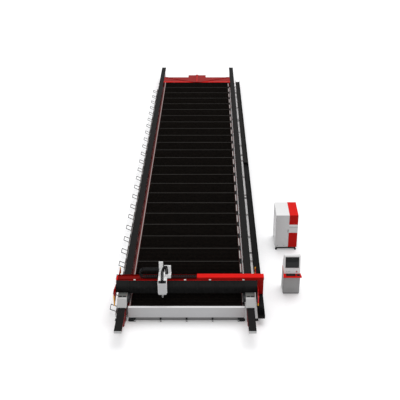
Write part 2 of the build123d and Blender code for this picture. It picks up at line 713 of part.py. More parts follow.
def main_chain_lower():
    """The lower run in its tray, from the turn to the fixed end: kept as one plain channel."""
    half = MAIN_WIDTH / 2
    z0, z1 = MAIN_LOW_Z - MAIN_HEIGHT / 2, MAIN_LOW_Z + MAIN_HEIGHT / 2
    run = block((-half, half), (MAIN_LOOP_Y, MAIN_FIXED_Y), (z0, z1))
    run -= block((-half + CHAIN_PLATE, half - CHAIN_PLATE), (MAIN_LOOP_Y, MAIN_FIXED_Y), (z0 + CHAIN_BAR, z1))
    return [Pos(MAIN_CHAIN_X, 0, 0) * run]


def main_chain_upper():
    run = chain_run(MAIN_WIDTH, MAIN_HEIGHT, MAIN_LOOP_Y, BEAM_BACK + ARM_BACK - 50.0, MAIN_PITCH)
    return [Pos(MAIN_CHAIN_X, 0, MAIN_HIGH_Z) * link for link in run]


def cross_chain_loop():
    arc = chain_arc(CROSS_WIDTH, CROSS_HEIGHT, CROSS_RADIUS, 9)
    return turn_to_x(arc, CROSS_LOOP_X, TOP_MIDDLE, CROSS_LOW_Z + CROSS_RADIUS)


def cross_chain_lower():
    run = chain_run(CROSS_WIDTH, CROSS_HEIGHT, 0, CROSS_FIXED_X - CROSS_LOOP_X, CROSS_PITCH)
    return turn_to_x(run, CROSS_LOOP_X, TOP_MIDDLE, CROSS_LOW_Z)


def cross_chain_upper():
    run = chain_run(CROSS_WIDTH, CROSS_HEIGHT, 0, TOWER_LEFT - CROSS_LOOP_X, CROSS_PITCH)
    return turn_to_x(run, CROSS_LOOP_X, TOP_MIDDLE, CROSS_HIGH_Z)


def chain_tray():
    """The open tray beside the right rail, on brackets, with the chain's fixed end at mid length."""
    x0, x1 = MAIN_TRAY_X, MAIN_TRAY_X + MAIN_TRAY_WIDTH
    sheet = CHAIN_SHEET_GAP
    floor = MAIN_FLOOR
    top = floor + MAIN_TRAY_HEIGHT
    pieces = []
    for span in spans(MAIN_TRAY_START, MAIN_TRAY_END, MAIN_TRAY_PARTS):
        pieces.append(block((x0, x1), span, (floor - sheet, floor)))
        pieces.append(block((x0, x0 + sheet), span, (floor, top)))
        pieces.append(block((x1 - sheet, x1), span, (floor, top)))
    under = (floor - sheet - BRACKET_HEIGHT, floor - sheet)
    for y0, y1 in rail_spans()[:-1]:
        width = (y1 - BRACKET_WIDTH / 2, y1 + BRACKET_WIDTH / 2)
        pieces.append(block((RAIL_OUTER + FLANGE_PROUD, x1 - 20.0), width, under))
    anchor_y = (MAIN_FIXED_Y, MAIN_FIXED_Y + 250.0)
    anchor_x = (x0 + sheet, x1 - sheet)
    pieces.append(block(anchor_x, anchor_y, (floor, top + 25.0)))
    return pieces


# Gantry
def wing(side):
    """One end plate of the gantry: high beside the trucks, with a low arm that reaches back."""
    front, rear = BEAM_FRONT - WING_FRONT, BEAM_BACK + WING_REAR
    knee, heel = BEAM_BACK - 90.0, BEAM_BACK + 60.0
    high = [
        (front, WING_LOW),
        (front, WING_HIGH - 140.0),
        (front + 180.0, WING_HIGH),
        (front + 260.0, WING_HIGH),
        (knee, WING_ARM_HIGH + 140.0),
        (BEAM_FRONT, WING_ARM_LOW),
        (front + 200.0, WING_LOW),
    ]
    middle = [(BEAM_FRONT, WING_ARM_LOW), (knee, WING_ARM_HIGH + 140.0)]
    middle += [(heel, WING_ARM_HIGH), (heel, WING_ARM_LOW)]
    arm = [(heel, WING_ARM_LOW), (heel, WING_ARM_HIGH), (rear, WING_ARM_HIGH), (rear, WING_ARM_LOW)]
    x0, x1 = side * BEAM_HALF, side * (BEAM_HALF + WING_THICK)
    return [along_x(outline, x0, x1) for outline in (high, middle, arm)]


def bellows_flange(side):
    """The flange on the beam's front that holds the outer end of a folding cover."""
    top_y = TOP_FRONT - 20.0
    corner = BEAM_TOP - BEAM_CHAMFER
    slope = (BELLOWS_TOP - BELLOWS_CORNER) / (top_y - BELLOWS_FACE)
    joint = BELLOWS_CORNER + slope * (BEAM_FRONT - BELLOWS_FACE)
    lower = [(BELLOWS_FACE, BEAM_BOTTOM), (BELLOWS_FACE, BELLOWS_CORNER)]
    lower += [(BEAM_FRONT, joint), (BEAM_FRONT, BEAM_BOTTOM)]
    upper = [(BEAM_FRONT, corner), (BEAM_FRONT, joint)]
    upper += [(top_y, BELLOWS_TOP), (top_y, corner + top_y - BEAM_FRONT)]
    x0, x1 = side * BELLOWS_END, side * (BELLOWS_END + BELLOWS_FLANGE)
    return [along_x(lower, x0, x1), along_x(upper, x0, x1)]


def gantry_beam():
    """The hollow beam with its end plates, and the guides and rack of the cross slide."""
    outline = [
        (BEAM_FRONT, BEAM_BOTTOM),
        (BEAM_FRONT, BEAM_TOP - BEAM_CHAMFER),
        (BEAM_FRONT + BEAM_CHAMFER, BEAM_TOP),
        (BEAM_BACK, BEAM_TOP),
        (BEAM_BACK, BEAM_BOTTOM),
    ]
    wall = BEAM_WALL
    pieces = folded(outline, wall, -BEAM_HALF + wall, BEAM_HALF - wall)
    for side in (-1, 1):
        pieces.append(along_x(outline, side * (BEAM_HALF - wall), side * BEAM_HALF))
        pieces += wing(side)
        pieces += bellows_flange(side)
    guide_y = (BEAM_FRONT - CROSS_GUIDE_DEPTH, BEAM_FRONT)
    reach = (-BELLOWS_END, BELLOWS_END)
    for z in (CROSS_GUIDE_LOW, CROSS_GUIDE_HIGH):
        pieces.append(block(reach, guide_y, (z, z + CROSS_GUIDE_WIDTH)))
    rack_y = (BEAM_FRONT - CROSS_GUIDE_WIDTH, BEAM_FRONT)
    pieces.append(block(reach, rack_y, (CROSS_RACK_Z, CROSS_RACK_Z + CROSS_GUIDE_WIDTH)))
    return pieces


def truck_frame(side):
    """A stiff C frame: a plate on the guide blocks, a riser outside the guard, a seat for the beam."""
    front, rear = BEAM_FRONT - TRUCK_FRONT + COVER_NOSE, BEAM_BACK + TRUCK_REAR
    x_in, x_out = side * (RAIL_X - BLOCK_WIDTH / 2), side * RISER_OUTER
    plate_z = (TRUCK_PLATE_BOTTOM, TRUCK_PLATE_BOTTOM + TRUCK_PLATE_THICK)
    motor_y = BEAM_BACK + MOTOR_BEHIND
    ledge_start = motor_y - GEARBOX_SIZE / 2 - 10.0
    pieces = [block((x_in, x_out), (front, ledge_start), plate_z)]
    riser_x = (side * (RISER_OUTER - TRUCK_RISER_THICK), x_out)
    riser_y = (front, BEAM_BACK + 20.0)
    pieces.append(block(riser_x, riser_y, (plate_z[1], BEAM_BOTTOM - TRUCK_TOP_THICK)))
    seat_x = (side * (COVER_INNER_X + COVER_SHEET), x_out)
    pieces.append(block(seat_x, riser_y, (BEAM_BOTTOM - TRUCK_TOP_THICK, BEAM_BOTTOM)))
    ledge_x = (x_in, side * (pinion_x() + GEARBOX_SIZE / 2))
    ledge = block(ledge_x, (ledge_start, rear), plate_z)
    centre = Pos(side * pinion_x(), motor_y, plate_z[0])
    ledge -= centre * Cylinder(SHAFT_RADIUS + 1.0, 3 * TRUCK_PLATE_THICK)
    pieces.append(ledge)
    for y in (front + 100.0, rear - 100.0):
        pieces += guide_block(side, y)
    return pieces


def guide_block(side, y):
    """A bearing block that straddles the guide rail: a top and two cheeks."""
    ys = (y - BLOCK_LENGTH / 2, y + BLOCK_LENGTH / 2)
    slot = GUIDE_WIDTH / 2 + RUNNING_GAP
    slot_top = RAIL_BEAM_TOP + GUIDE_HEIGHT + RUNNING_GAP
    half = BLOCK_WIDTH / 2
    top_x = (side * (RAIL_X - half), side * (RAIL_X + half))
    pieces = [block(top_x, ys, (slot_top, TRUCK_PLATE_BOTTOM))]
    for a, b in ((-half, -slot), (slot, half)):
        pieces.append(block((side * (RAIL_X + a), side * (RAIL_X + b)), ys, (BLOCK_BOTTOM, slot_top)))
    return pieces


def truck_frames():
    return truck_frame(-1) + truck_frame(1)


def truck_covers():
    """Folded hoods: a sloped nose before the beam, skirts under it, a hood over the motor behind."""
    pieces = []
    front, back = BEAM_FRONT - TRUCK_FRONT, BEAM_BACK + 60.0
    rear = BEAM_BACK + COVER_REAR
    sheet = COVER_SHEET
    nose = [
        (front, COVER_BOTTOM),
        (front, COVER_BOTTOM + 25.0),
        (front + COVER_NOSE, COVER_TOP),
        (BEAM_FRONT, COVER_TOP),
        (BEAM_FRONT, COVER_BOTTOM),
    ]
    tail = [
        (back, COVER_BOTTOM),
        (back, COVER_TOP),
        (rear - COVER_NOSE / 2, COVER_TOP),
        (rear, COVER_BOTTOM + 25.0),
        (rear, COVER_BOTTOM),
    ]
    skirt_y, skirt_z = (BEAM_FRONT, back), (COVER_BOTTOM, BEAM_BOTTOM)
    for side in (-1, 1):
        inner, outer = side * COVER_INNER_X, side * (RISER_OUTER + sheet)
        far = side * MOTOR_COVER_X
        pieces += folded(nose, sheet, inner + side * sheet, outer - side * sheet, (3, 4))
        pieces += folded(tail, sheet, inner + side * sheet, far - side * sheet, (0, 4))
        pieces.append(along_x(nose, inner, inner + side * sheet))
        pieces.append(along_x(nose, outer - side * sheet, outer))
        pieces.append(along_x(tail, inner, inner + side * sheet))
        pieces.append(along_x(tail, far - side * sheet, far))
        pieces.append(block((inner, inner + side * sheet), skirt_y, skirt_z))
        pieces.append(block((outer - side * sheet, outer), skirt_y, skirt_z))
    return pieces


def pinion_x():
    """The drive pinion's axis, one tip radius and a hair outside the rack."""
    return RACK_OUTER + pinion_tip() + RUNNING_GAP


def pinion_tip():
    return GEARBOX_SIZE / 2 + (GUARD_OUTER + 3.0 - RACK_OUTER) - RUNNING_GAP


def drive_motor(side):
    """Motor, gearbox and toothed pinion of one side's rack drive, upright on the truck's ledge."""
    x = side * pinion_x()
    y = BEAM_BACK + MOTOR_BEHIND
    z = TRUCK_PLATE_BOTTOM + TRUCK_PLATE_THICK
    lift = (Align.CENTER, Align.CENTER, Align.MIN)
    pieces = [Pos(x, y, z) * Box(GEARBOX_SIZE, GEARBOX_SIZE, GEARBOX_HEIGHT, align=lift)]
    pieces.append(Pos(x, y, z + GEARBOX_HEIGHT) * Box(MOTOR_SIZE, MOTOR_SIZE, MOTOR_HEIGHT, align=lift))
    tip = pinion_tip()
    root = tip - 9.0
    points = []
    for i in range(PINION_TEETH):
        for part, radius in ((-0.3, root), (-0.14, tip), (0.14, tip), (0.3, root)):
            angle = 2 * math.pi * (i + part) / PINION_TEETH
            points.append((x + radius * math.cos(angle), y + radius * math.sin(angle)))
    pinion = along_z(points, RACK_BOTTOM, RACK_BOTTOM + RACK_SIZE)
    pinion += Pos(x, y, RACK_BOTTOM) * Cylinder(SHAFT_RADIUS, z - RACK_BOTTOM, align=lift)
    pieces.append(pinion)
    return pieces


def drive_motors():
    return drive_motor(-1) + drive_motor(1)


def beam_top_cover():
    """The raised cover along the right half of the beam, and the arm that holds the long chain."""
    cover_z = (BEAM_TOP, BEAM_TOP + TOP_COVER_HEIGHT)
    ys = (TOP_FRONT, BEAM_BACK)
    sheet = TOP_COVER_SHEET
    edge = 25.0
    outline = [
        (ys[0], cover_z[0]),
        (ys[0], cover_z[1] - edge),
        (ys[0] + edge, cover_z[1]),
        (ys[1] - edge, cover_z[1]),
        (ys[1], cover_z[1] - edge),
        (ys[1], cover_z[0]),
    ]
    ends = (TOP_SPLIT_X + sheet, ARM_RIGHT_X - sheet)
    pieces = folded(outline, sheet, ends[0], ends[1], (5,))
    pieces.append(along_x(outline, TOP_SPLIT_X, ends[0]))
    pieces.append(along_x(outline, ends[1], ARM_RIGHT_X))
    foot_bottom = MAIN_HIGH_Z + MAIN_HEIGHT / 2 + RUNNING_GAP
    foot_top = foot_bottom + ARM_FOOT
    arm_x = (BEAM_HALF + WING_THICK, ARM_RIGHT_X)
    arm_y = (BEAM_BACK - ARM_BOX_DEPTH, BEAM_BACK)
    pieces += plates(arm_x, arm_y, (foot_top, BEAM_TOP), sheet, "top bottom")
    foot_y = (arm_y[0], BEAM_BACK + ARM_BACK)
    pieces.append(block(arm_x, foot_y, (foot_bottom, foot_top)))
    for x in (arm_x[0], arm_x[1] - ARM_CHEEK):
        cheek_z = (foot_bottom - MAIN_HEIGHT, foot_bottom)
        pieces.append(block((x, x + ARM_CHEEK), foot_y, cheek_z))
    return pieces


def cross_chain_tray():
    """The open tray on the left half of the beam, with the short chain's fixed end."""
    x0, x1 = TRAY_LEFT_X, TOP_SPLIT_X
    y0, y1 = TOP_FRONT, BEAM_BACK
    pieces = plates((x0, x1), (y0, y1), (BEAM_TOP, BEAM_TOP + TRAY_LIP), TRAY_SHEET, "top right")
    half = CROSS_WIDTH / 2
    anchor_z = (BEAM_TOP + TRAY_SHEET, CROSS_LOW_Z + CROSS_HEIGHT / 2)
    anchor_y = (TOP_MIDDLE - half, TOP_MIDDLE + half)
    pieces.append(block((CROSS_FIXED_X, TOP_SPLIT_X), anchor_y, anchor_z))
    return pieces


def bellows_wall(x0, x1):
    """A folding cover between the carriage and one end of the beam: a plain bent wall here."""
    face, wall = BELLOWS_FACE, BELLOWS_WALL
    top_y = TOP_FRONT - 20.0
    slope = (BELLOWS_TOP - BELLOWS_CORNER) / (top_y - face)
    outline = [
        (face, BELLOWS_BOTTOM),
        (face, BELLOWS_CORNER),
        (top_y, BELLOWS_TOP),
        (top_y, BELLOWS_TOP - wall),
        (face + wall, BELLOWS_CORNER + slope * wall - wall),
        (face + wall, BELLOWS_BOTTOM),
    ]
    return along_x(outline, x0, x1)


def bellows_left():
    return [bellows_wall(-BELLOWS_END, HEAD_X - CARRIAGE_WIDTH / 2)]


def bellows_right():
    return [bellows_wall(HEAD_X + CARRIAGE_WIDTH / 2, BELLOWS_END)]


def gantry_lights():
    """Light barrier strips at both ends of each wing and work lamps along the front edge."""
    pieces = []
    front, rear = BEAM_FRONT - WING_FRONT, BEAM_BACK + WING_REAR
    low = WING_LOW - 20.0
    for side in (-1, 1):
        strip_x = (side * (BEAM_HALF + WING_THICK - LIGHT_STRIP), side * (BEAM_HALF + WING_THICK))
        pieces.append(block(strip_x, (front - LIGHT_STRIP, front), (low, low + LIGHT_FRONT_HEIGHT)))
        pieces.append(block(strip_x, (rear, rear + LIGHT_STRIP), (low, low + LIGHT_REAR_HEIGHT)))
    for x in LAMP_PLACES:
        lamp_x = (x - LAMP_WIDTH / 2, x + LAMP_WIDTH / 2)
        pieces.append(block(lamp_x, (TOP_FRONT - 30.0, TOP_FRONT), (BEAM_TOP + 2.0, BEAM_TOP + 30.0)))
    return pieces


# Cross carriage and cutting head
def carriage():
    """The front plate with its guide blocks, the bridge over the beam, the tower and the hose box."""
    gap = 1.0
    x0, x1 = HEAD_X - CARRIAGE_WIDTH / 2 + gap, HEAD_X + CARRIAGE_WIDTH / 2 - gap
    front_y = (CARRIAGE_FRONT, CARRIAGE_BACK)
    bridge_z = (BRIDGE_BOTTOM, BRIDGE_BOTTOM + BRIDGE_THICK)
    box_x = (HEAD_X + BRIDGE_RIGHT - BOX_WIDTH - 15.0, HEAD_X + BRIDGE_RIGHT - 15.0)
    box_y = (TOP_FRONT - 40.0, TOP_FRONT - 40.0 + BOX_DEPTH)
    pieces = [block((x0, x1), front_y, (CARRIAGE_BOTTOM, bridge_z[1]))]
    pieces.append(block((x0, box_x[0]), (CARRIAGE_BACK, BEAM_BACK), bridge_z))
    pieces.append(block((box_x[0], x1), (CARRIAGE_BACK, box_y[0]), bridge_z))
    pieces.append(block(box_x, (box_y[1], BEAM_BACK), bridge_z))
    pieces += plates(box_x, box_y, (BOX_BOTTOM, BOX_TOP), TRAY_SHEET)
    pieces.append(block(box_x, (box_y[1], box_y[1] + 20.0), (bridge_z[1], BOX_PLATE_TOP)))
    shoe_x = (x0 + 30.0, x1 - 30.0)
    guide_front = BEAM_FRONT - CROSS_GUIDE_DEPTH - RUNNING_GAP
    slot = CROSS_GUIDE_WIDTH / 2 + RUNNING_GAP
    for z in (CROSS_GUIDE_LOW, CROSS_GUIDE_HIGH):
        middle = z + CROSS_GUIDE_WIDTH / 2
        pieces.append(block(shoe_x, (CARRIAGE_BACK, guide_front), (middle - 30.0, middle + 30.0)))
        for a, b in ((-30.0, -slot), (slot, 30.0)):
            pieces.append(block(shoe_x, (guide_front, BEAM_FRONT - 10.0), (middle + a, middle + b)))
    tower_y = (TOP_MIDDLE - TOWER_DEPTH / 2, TOP_MIDDLE + TOWER_DEPTH / 2)
    tower_x = (TOWER_LEFT, TOWER_LEFT + TOWER_WIDTH)
    pieces.append(block(tower_x, tower_y, (bridge_z[1], TOWER_TOP)))
    for x in (HEAD_X - 50.0, HEAD_X + 50.0):
        rail_y = (CARRIAGE_FRONT - 20.0, CARRIAGE_FRONT)
        rail_z = (CARRIAGE_BOTTOM + 40.0, Z_COVER_TOP - 40.0)
        pieces.append(block((x - 10.0, x + 10.0), rail_y, rail_z))
    return pieces


def z_cover():
    """The rounded white cover over the vertical slide, open at the bottom."""
    x0, x1 = HEAD_X - CARRIAGE_WIDTH / 2, HEAD_X + CARRIAGE_WIDTH / 2
    back = CARRIAGE_FRONT
    front = back - Z_COVER_DEPTH
    shell = block((x0, x1), (front, back), (Z_COVER_BOTTOM, Z_COVER_TOP))
    corners = shell.edges().filter_by(Axis.Z).group_by(Axis.Y)[0]
    shell = fillet(corners, Z_COVER_CORNER)
    sheet = Z_COVER_SHEET
    inside = block((x0 + sheet, x1 - sheet), (front + sheet, back), (Z_COVER_BOTTOM, Z_COVER_TOP - sheet))
    inner_corners = inside.edges().filter_by(Axis.Z).group_by(Axis.Y)[0]
    inside = fillet(inner_corners, Z_COVER_CORNER - sheet)
    return [shell - inside]


def cutting_head():
    """The vertical slide plate with the cutting head: body, focusing barrel, cone and nozzle."""
    slide_back = CARRIAGE_FRONT - 20.0 - RUNNING_GAP
    slide_front = slide_back - 30.0
    plate_z = (Z_COVER_BOTTOM + 30.0, HEAD_PLATE_TOP)
    plate = block((HEAD_X - 75.0, HEAD_X + 75.0), (slide_front, slide_back), plate_z)
    y = slide_front - HEAD_BODY / 2
    half = HEAD_BODY / 2
    body_z = (Z_COVER_BOTTOM - 40.0, HEAD_PLATE_TOP - 20.0)
    body = block((HEAD_X - half, HEAD_X + half), (y - half, y + half), body_z)
    profile = [
        (0, NOZZLE_TIP),
        (6.0, NOZZLE_TIP),
        (14.0, NOZZLE_TIP + 22.0),
        (14.0, NOZZLE_TIP + 34.0),
        (26.0, NOZZLE_TIP + 40.0),
        (34.0, NOZZLE_TIP + 100.0),
        (42.0, NOZZLE_TIP + 106.0),
        (42.0, Z_COVER_BOTTOM - 40.0),
        (0, Z_COVER_BOTTOM - 40.0),
    ]
    face = make_face(Polyline(*[(x, 0, z) for x, z in profile], close=True))
    barrel = Pos(HEAD_X, y, 0) * revolve(face, Axis.Z)
    return [plate, body, barrel]


def hose(points, radii):
    path = FilletPolyline(*points, radius=radii)
    start = Plane(origin=path @ 0, z_dir=path % 0)
    ring = start * RegularPolygon(HOSE_DIAMETER / 2, HOSE_SIDES)
    return sweep(ring, path=path)


def head_hoses():
    """Two hoses that leave the top of the slide's cover, arch back and enter the side box."""
    y0 = CARRIAGE_FRONT - Z_COVER_DEPTH / 2
    pieces = []
    for index, offset in enumerate((0.0, HOSE_SPACING)):
        x0 = HEAD_X - 30.0 + offset
        x1 = HEAD_X + BRIDGE_RIGHT - BOX_WIDTH + 45.0 + offset
        y1 = TOP_FRONT + 30.0
        crown = HOSE_CROWN - 60.0 + 25.0 * index
        points = [
            (x0, y0, Z_COVER_TOP),
            (x0, y0, crown - 60.0),
            (x0 + (x1 - x0) * 0.5, (y0 + y1) / 2, crown + 60.0),
            (x1, y1, crown - 30.0),
            (x1, y1, BOX_TOP),
        ]
        pieces.append(hose(points, HOSE_RADII))
    return pieces


# Console
def slope_points():
    """The console head's side outline: control strip, leaning screen face, top and back."""
    desk = CONSOLE_DESK + SHELF_THICK
    return [
        (CONSOLE_FRONT, desk),
        (CONSOLE_FRONT + 50.0, desk + 170.0),
        (CONSOLE_FRONT + 210.0, CONSOLE_TOP),
        (CONSOLE_FRONT + 330.0, CONSOLE_TOP),
        (CONSOLE_BACK, desk + 250.0),
        (CONSOLE_BACK, desk),
    ]


def console_body():
    """The console's lower case: a sheet case with a flange round the door, on a recessed plinth."""
    xs = (CONSOLE_LEFT, CONSOLE_RIGHT)
    ys = (CONSOLE_FRONT, CONSOLE_BACK)
    zs = (CONSOLE_PLINTH, CONSOLE_DESK)
    pieces = plates(xs, ys, zs, CONSOLE_SHEET, "front")
    sheet, frame = CONSOLE_SHEET, DOOR_FRAME
    flange_y = (ys[0], ys[0] + sheet)
    flange_z = (zs[0] + sheet, zs[1] - sheet)
    pieces.append(block((xs[0] + sheet, xs[0] + frame), flange_y, flange_z))
    pieces.append(block((xs[1] - frame, xs[1] - sheet), flange_y, flange_z))
    for low, high in ((flange_z[0], zs[0] + frame), (zs[1] - frame, flange_z[1])):
        pieces.append(block((xs[0] + frame, xs[1] - frame), flange_y, (low, high)))
    inner_x, inner_y = (xs[0] + 20.0, xs[1] - 20.0), (ys[0] + 20.0, ys[1] - 20.0)
    pieces += plates(inner_x, inner_y, (0, CONSOLE_PLINTH), CONSOLE_SHEET, "bottom")
    return pieces


def console_shelf():
    """The flared keyboard shelf, with the keyboard let into its top."""
    z0, z1 = CONSOLE_DESK, CONSOLE_DESK + SHELF_THICK
    front = CONSOLE_FRONT - SHELF_REACH
    outline = [
        (CONSOLE_LEFT - SHELF_FLARE, front),
        (CONSOLE_RIGHT + SHELF_FLARE, front),
        (CONSOLE_RIGHT, CONSOLE_FRONT + 60.0),
        (CONSOLE_RIGHT, CONSOLE_BACK),
        (CONSOLE_LEFT, CONSOLE_BACK),
        (CONSOLE_LEFT, CONSOLE_FRONT + 60.0),
    ]
    sheet = CONSOLE_SHEET
    shelf = along_z(outline, z0, z1) - along_z(inset(outline, sheet), z0, z1 - sheet)
    keys_x = (CONSOLE_X - 250.0, CONSOLE_X + 130.0)
    keys_y = (front + 35.0, CONSOLE_FRONT - 20.0)
    keyboard = block(keys_x, keys_y, (z1, z1 + 12.0))
    return [shelf, keyboard]


def screen_frame():
    """A local frame on the leaning face: X across, Y up the slope, Z out of it."""
    low, high = slope_points()[1], slope_points()[2]
    middle = ((low[0] + high[0]) / 2, (low[1] + high[1]) / 2)
    lean = math.atan2(high[0] - low[0], high[1] - low[1])
    return Plane(
        origin=(CONSOLE_X, middle[0], middle[1]),
        x_dir=(1, 0, 0),
        z_dir=(0, -math.cos(lean), math.sin(lean)),
    )


def console_head():
    """The leaning sheet case with the control strip below and the screen on its face."""
    outline = slope_points()
    sheet = CONSOLE_SHEET
    x0, x1 = CONSOLE_LEFT + 10.0, CONSOLE_RIGHT - 10.0
    walls = folded(outline, sheet, x0 + sheet, x1 - sheet)
    bore = stop_frame() * Cylinder(STOP_STEM + STOP_BORE_GAP, 10 * sheet)
    walls[0] = walls[0] - bore
    pieces = walls + [along_x(outline, x0, x0 + sheet), along_x(outline, x1 - sheet, x1)]
    screen = Pos(0, 0, SCREEN_THICK / 2) * Box(SCREEN_WIDTH, SCREEN_HEIGHT, SCREEN_THICK)
    pieces.append(screen_frame() * screen)
    return pieces


def console_door():
    """The console's front door with its hinge barrels and a round pull."""
    margin = DOOR_MARGIN
    xs = (CONSOLE_LEFT + margin, CONSOLE_RIGHT - margin)
    zs = (CONSOLE_PLINTH + margin, CONSOLE_DESK - margin)
    back = CONSOLE_FRONT - DOOR_GAP
    door = block(xs, (back - DOOR_THICK, back), zs)
    knob = Pos(xs[1] - 40.0, back - DOOR_THICK, (zs[0] + zs[1]) / 2) * Rot(90, 0, 0) * Cylinder(
        14.0, 26.0, align=(Align.CENTER, Align.CENTER, Align.MIN)
    )
    for z in (zs[0] + HINGE_LENGTH, zs[1] - 2 * HINGE_LENGTH):
        barrel = Cylinder(HINGE_RADIUS, HINGE_LENGTH, align=(Align.CENTER, Align.CENTER, Align.MIN))
        door += Pos(xs[0], back - DOOR_THICK, z) * barrel
    return [door, knob]


def stop_frame():
    """A local frame on the control strip: Z stands square out of the strip."""
    low, high = slope_points()[0], slope_points()[1]
    middle = ((low[0] + high[0]) / 2, (low[1] + high[1]) / 2)
    lean = math.atan2(high[0] - low[0], high[1] - low[1])
    return Plane(
        origin=(CONSOLE_X + STOP_X_FROM_MIDDLE, middle[0], middle[1]),
        x_dir=(1, 0, 0),
        z_dir=(0, -math.cos(lean), math.sin(lean)),
    )


def estop_button():
    """The red mushroom stop button on the control strip, its stem in a bore of the strip."""
    lift = (Align.CENTER, Align.CENTER, Align.MIN)
    stem = Pos(0, 0, -12.0) * Cylinder(STOP_STEM, 26.0, align=lift)
    cap = Pos(0, 0, 14.0) * Cylinder(STOP_RADIUS, 12.0, align=lift)
    cap = chamfer(cap.edges().group_by(Axis.Z)[-1], 5.0)
    return [stop_frame() * stem, stop_frame() * cap]


# Cabinet
def cabinet_shell():
    """The sheet case of the laser source, on a recessed plinth and corner feet."""
    xs = (CABINET_LEFT, CABINET_RIGHT)
    ys = (CABINET_FRONT, CABINET_BACK)
    pieces = plates(xs, ys, (CABINET_BOTTOM, CABINET_TOP), CABINET_SHEET)
    inner_x, inner_y = (xs[0] + 60.0, xs[1] - 60.0), (ys[0] + 60.0, ys[1] - 60.0)
    pieces += plates(inner_x, inner_y, (CABINET_FOOT_HEIGHT, CABINET_BOTTOM), CABINET_SHEET)
    half = CABINET_FOOT / 2
    for x in inner_x:
        for y in inner_y:
            foot = block((x - half, x + half), (y - half, y + half), (0, CABINET_FOOT_HEIGHT))
            pieces.append(foot)
    return pieces


def cabinet_trim():
    """The red corner panels: over the top and down the front, with a gap for the controls."""
    x1 = CABINET_RIGHT - 6.0
    x0 = x1 - TRIM_WIDTH
    front = CABINET_FRONT - TRIM_THICK
    upper = block((x0, x1), (front, CABINET_FRONT), (TRIM_BAND_HIGH, CABINET_TOP))
    top = block((x0, x1), (front, CABINET_BACK), (CABINET_TOP, CABINET_TOP + TRIM_THICK))
    lower = block((x0, x1), (front, CABINET_FRONT), (CABINET_BOTTOM + 10.0, TRIM_BAND_LOW))
    return [upper, top, lower]


PARTS = {
    "rail_beams": rail_beams,
    "rail_guards": rail_guards,
    "rails_and_racks": rails_and_racks,
    "table_frame": table_frame,
    "slats": slats,
    "front_panel": front_panel,
    "rear_beam": rear_beam,
    "exhaust_duct": exhaust_duct,
    "chain_tray": chain_tray,
    "main_chain_lower": main_chain_lower,
    "main_chain_upper": main_chain_upper,
    "main_chain_loop": main_chain_loop,
    "gantry_beam": gantry_beam,
    "truck_frames": truck_frames,
    "truck_covers": truck_covers,
    "drive_motors": drive_motors,
    "beam_top_cover": beam_top_cover,
    "cross_chain_tray": cross_chain_tray,
    "cross_chain_lower": cross_chain_lower,
    "cross_chain_upper": cross_chain_upper,
    "cross_chain_loop": cross_chain_loop,
    "bellows_left": bellows_left,
    "bellows_right": bellows_right,
    "gantry_lights": gantry_lights,
    "carriage": carriage,
    "z_cover": z_cover,
    "cutting_head": cutting_head,
    "head_hoses": head_hoses,
    "console_body": console_body,
    "console_shelf": console_shelf,
    "console_head": console_head,
    "console_door": console_door,
    "estop_button": estop_button,
    "cabinet_shell": cabinet_shell,
    "cabinet_trim": cabinet_trim,
}

os.makedirs("parts", exist_ok=True)

for part_name, make in PARTS.items():
    save(part_name, make())

for number in range(MODULES):
    save(f"scrap_drawer_{number + 1:02d}", drawer(number))
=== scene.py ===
# %% [markdown]
# # A long-bed laser cutting machine
# The machine is a thirty metre bed of narrow slats between two ground rails. A gantry drives
# along the rails, a carriage drives across the gantry, and a console and a laser source stand
# beside it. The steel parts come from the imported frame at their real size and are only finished
# here. What folds, flexes or carries fine detail is modelled in these cells.

# %% Load the frame
import math
import bmesh
import bpy
from mathutils import Matrix, Vector


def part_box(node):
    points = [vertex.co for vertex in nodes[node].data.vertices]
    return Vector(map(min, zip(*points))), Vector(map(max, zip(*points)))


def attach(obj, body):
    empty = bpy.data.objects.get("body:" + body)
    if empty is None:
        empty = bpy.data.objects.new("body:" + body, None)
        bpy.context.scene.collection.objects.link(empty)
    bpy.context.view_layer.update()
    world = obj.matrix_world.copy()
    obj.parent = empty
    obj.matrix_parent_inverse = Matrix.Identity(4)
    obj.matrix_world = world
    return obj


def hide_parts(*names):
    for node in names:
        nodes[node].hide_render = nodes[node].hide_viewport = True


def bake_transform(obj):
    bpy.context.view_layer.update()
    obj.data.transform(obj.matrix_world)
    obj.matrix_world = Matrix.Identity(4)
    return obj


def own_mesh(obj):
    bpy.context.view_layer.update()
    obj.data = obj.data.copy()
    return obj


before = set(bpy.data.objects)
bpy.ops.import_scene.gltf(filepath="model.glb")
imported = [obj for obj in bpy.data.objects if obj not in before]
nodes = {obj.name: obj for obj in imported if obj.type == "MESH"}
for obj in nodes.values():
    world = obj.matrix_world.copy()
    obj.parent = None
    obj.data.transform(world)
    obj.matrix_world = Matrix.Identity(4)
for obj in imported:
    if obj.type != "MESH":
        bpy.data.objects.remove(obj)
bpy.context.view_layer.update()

# %% [markdown]
# ## Camera
# The picture is taken from high up, in front of the operator's end, with a slightly long lens.
# The camera looks along the bed, tipped down, and a small sideways shift puts the bed where it
# stands in the frame.

# %% Place the camera
LENS = 63.5
SENSOR = 36.0
TIP_DOWN = 28.9
CAMERA_PLACE = (-0.007, -35.11, 17.26)
SIDE_SHIFT = -0.02375
SEES_TO = 400.0

lens = bpy.data.cameras.new("camera")
lens.lens = LENS
lens.sensor_width = SENSOR
lens.shift_x = SIDE_SHIFT
lens.clip_end = SEES_TO
camera = bpy.data.objects.new("camera", lens)
camera.location = CAMERA_PLACE
camera.rotation_euler = (math.radians(90.0 - TIP_DOWN), 0.0, 0.0)
bpy.context.scene.collection.objects.link(camera)
bpy.context.scene.camera = camera
print("camera", round(-CAMERA_PLACE[1], 1), "m in front of the bed's middle, tipped", TIP_DOWN)

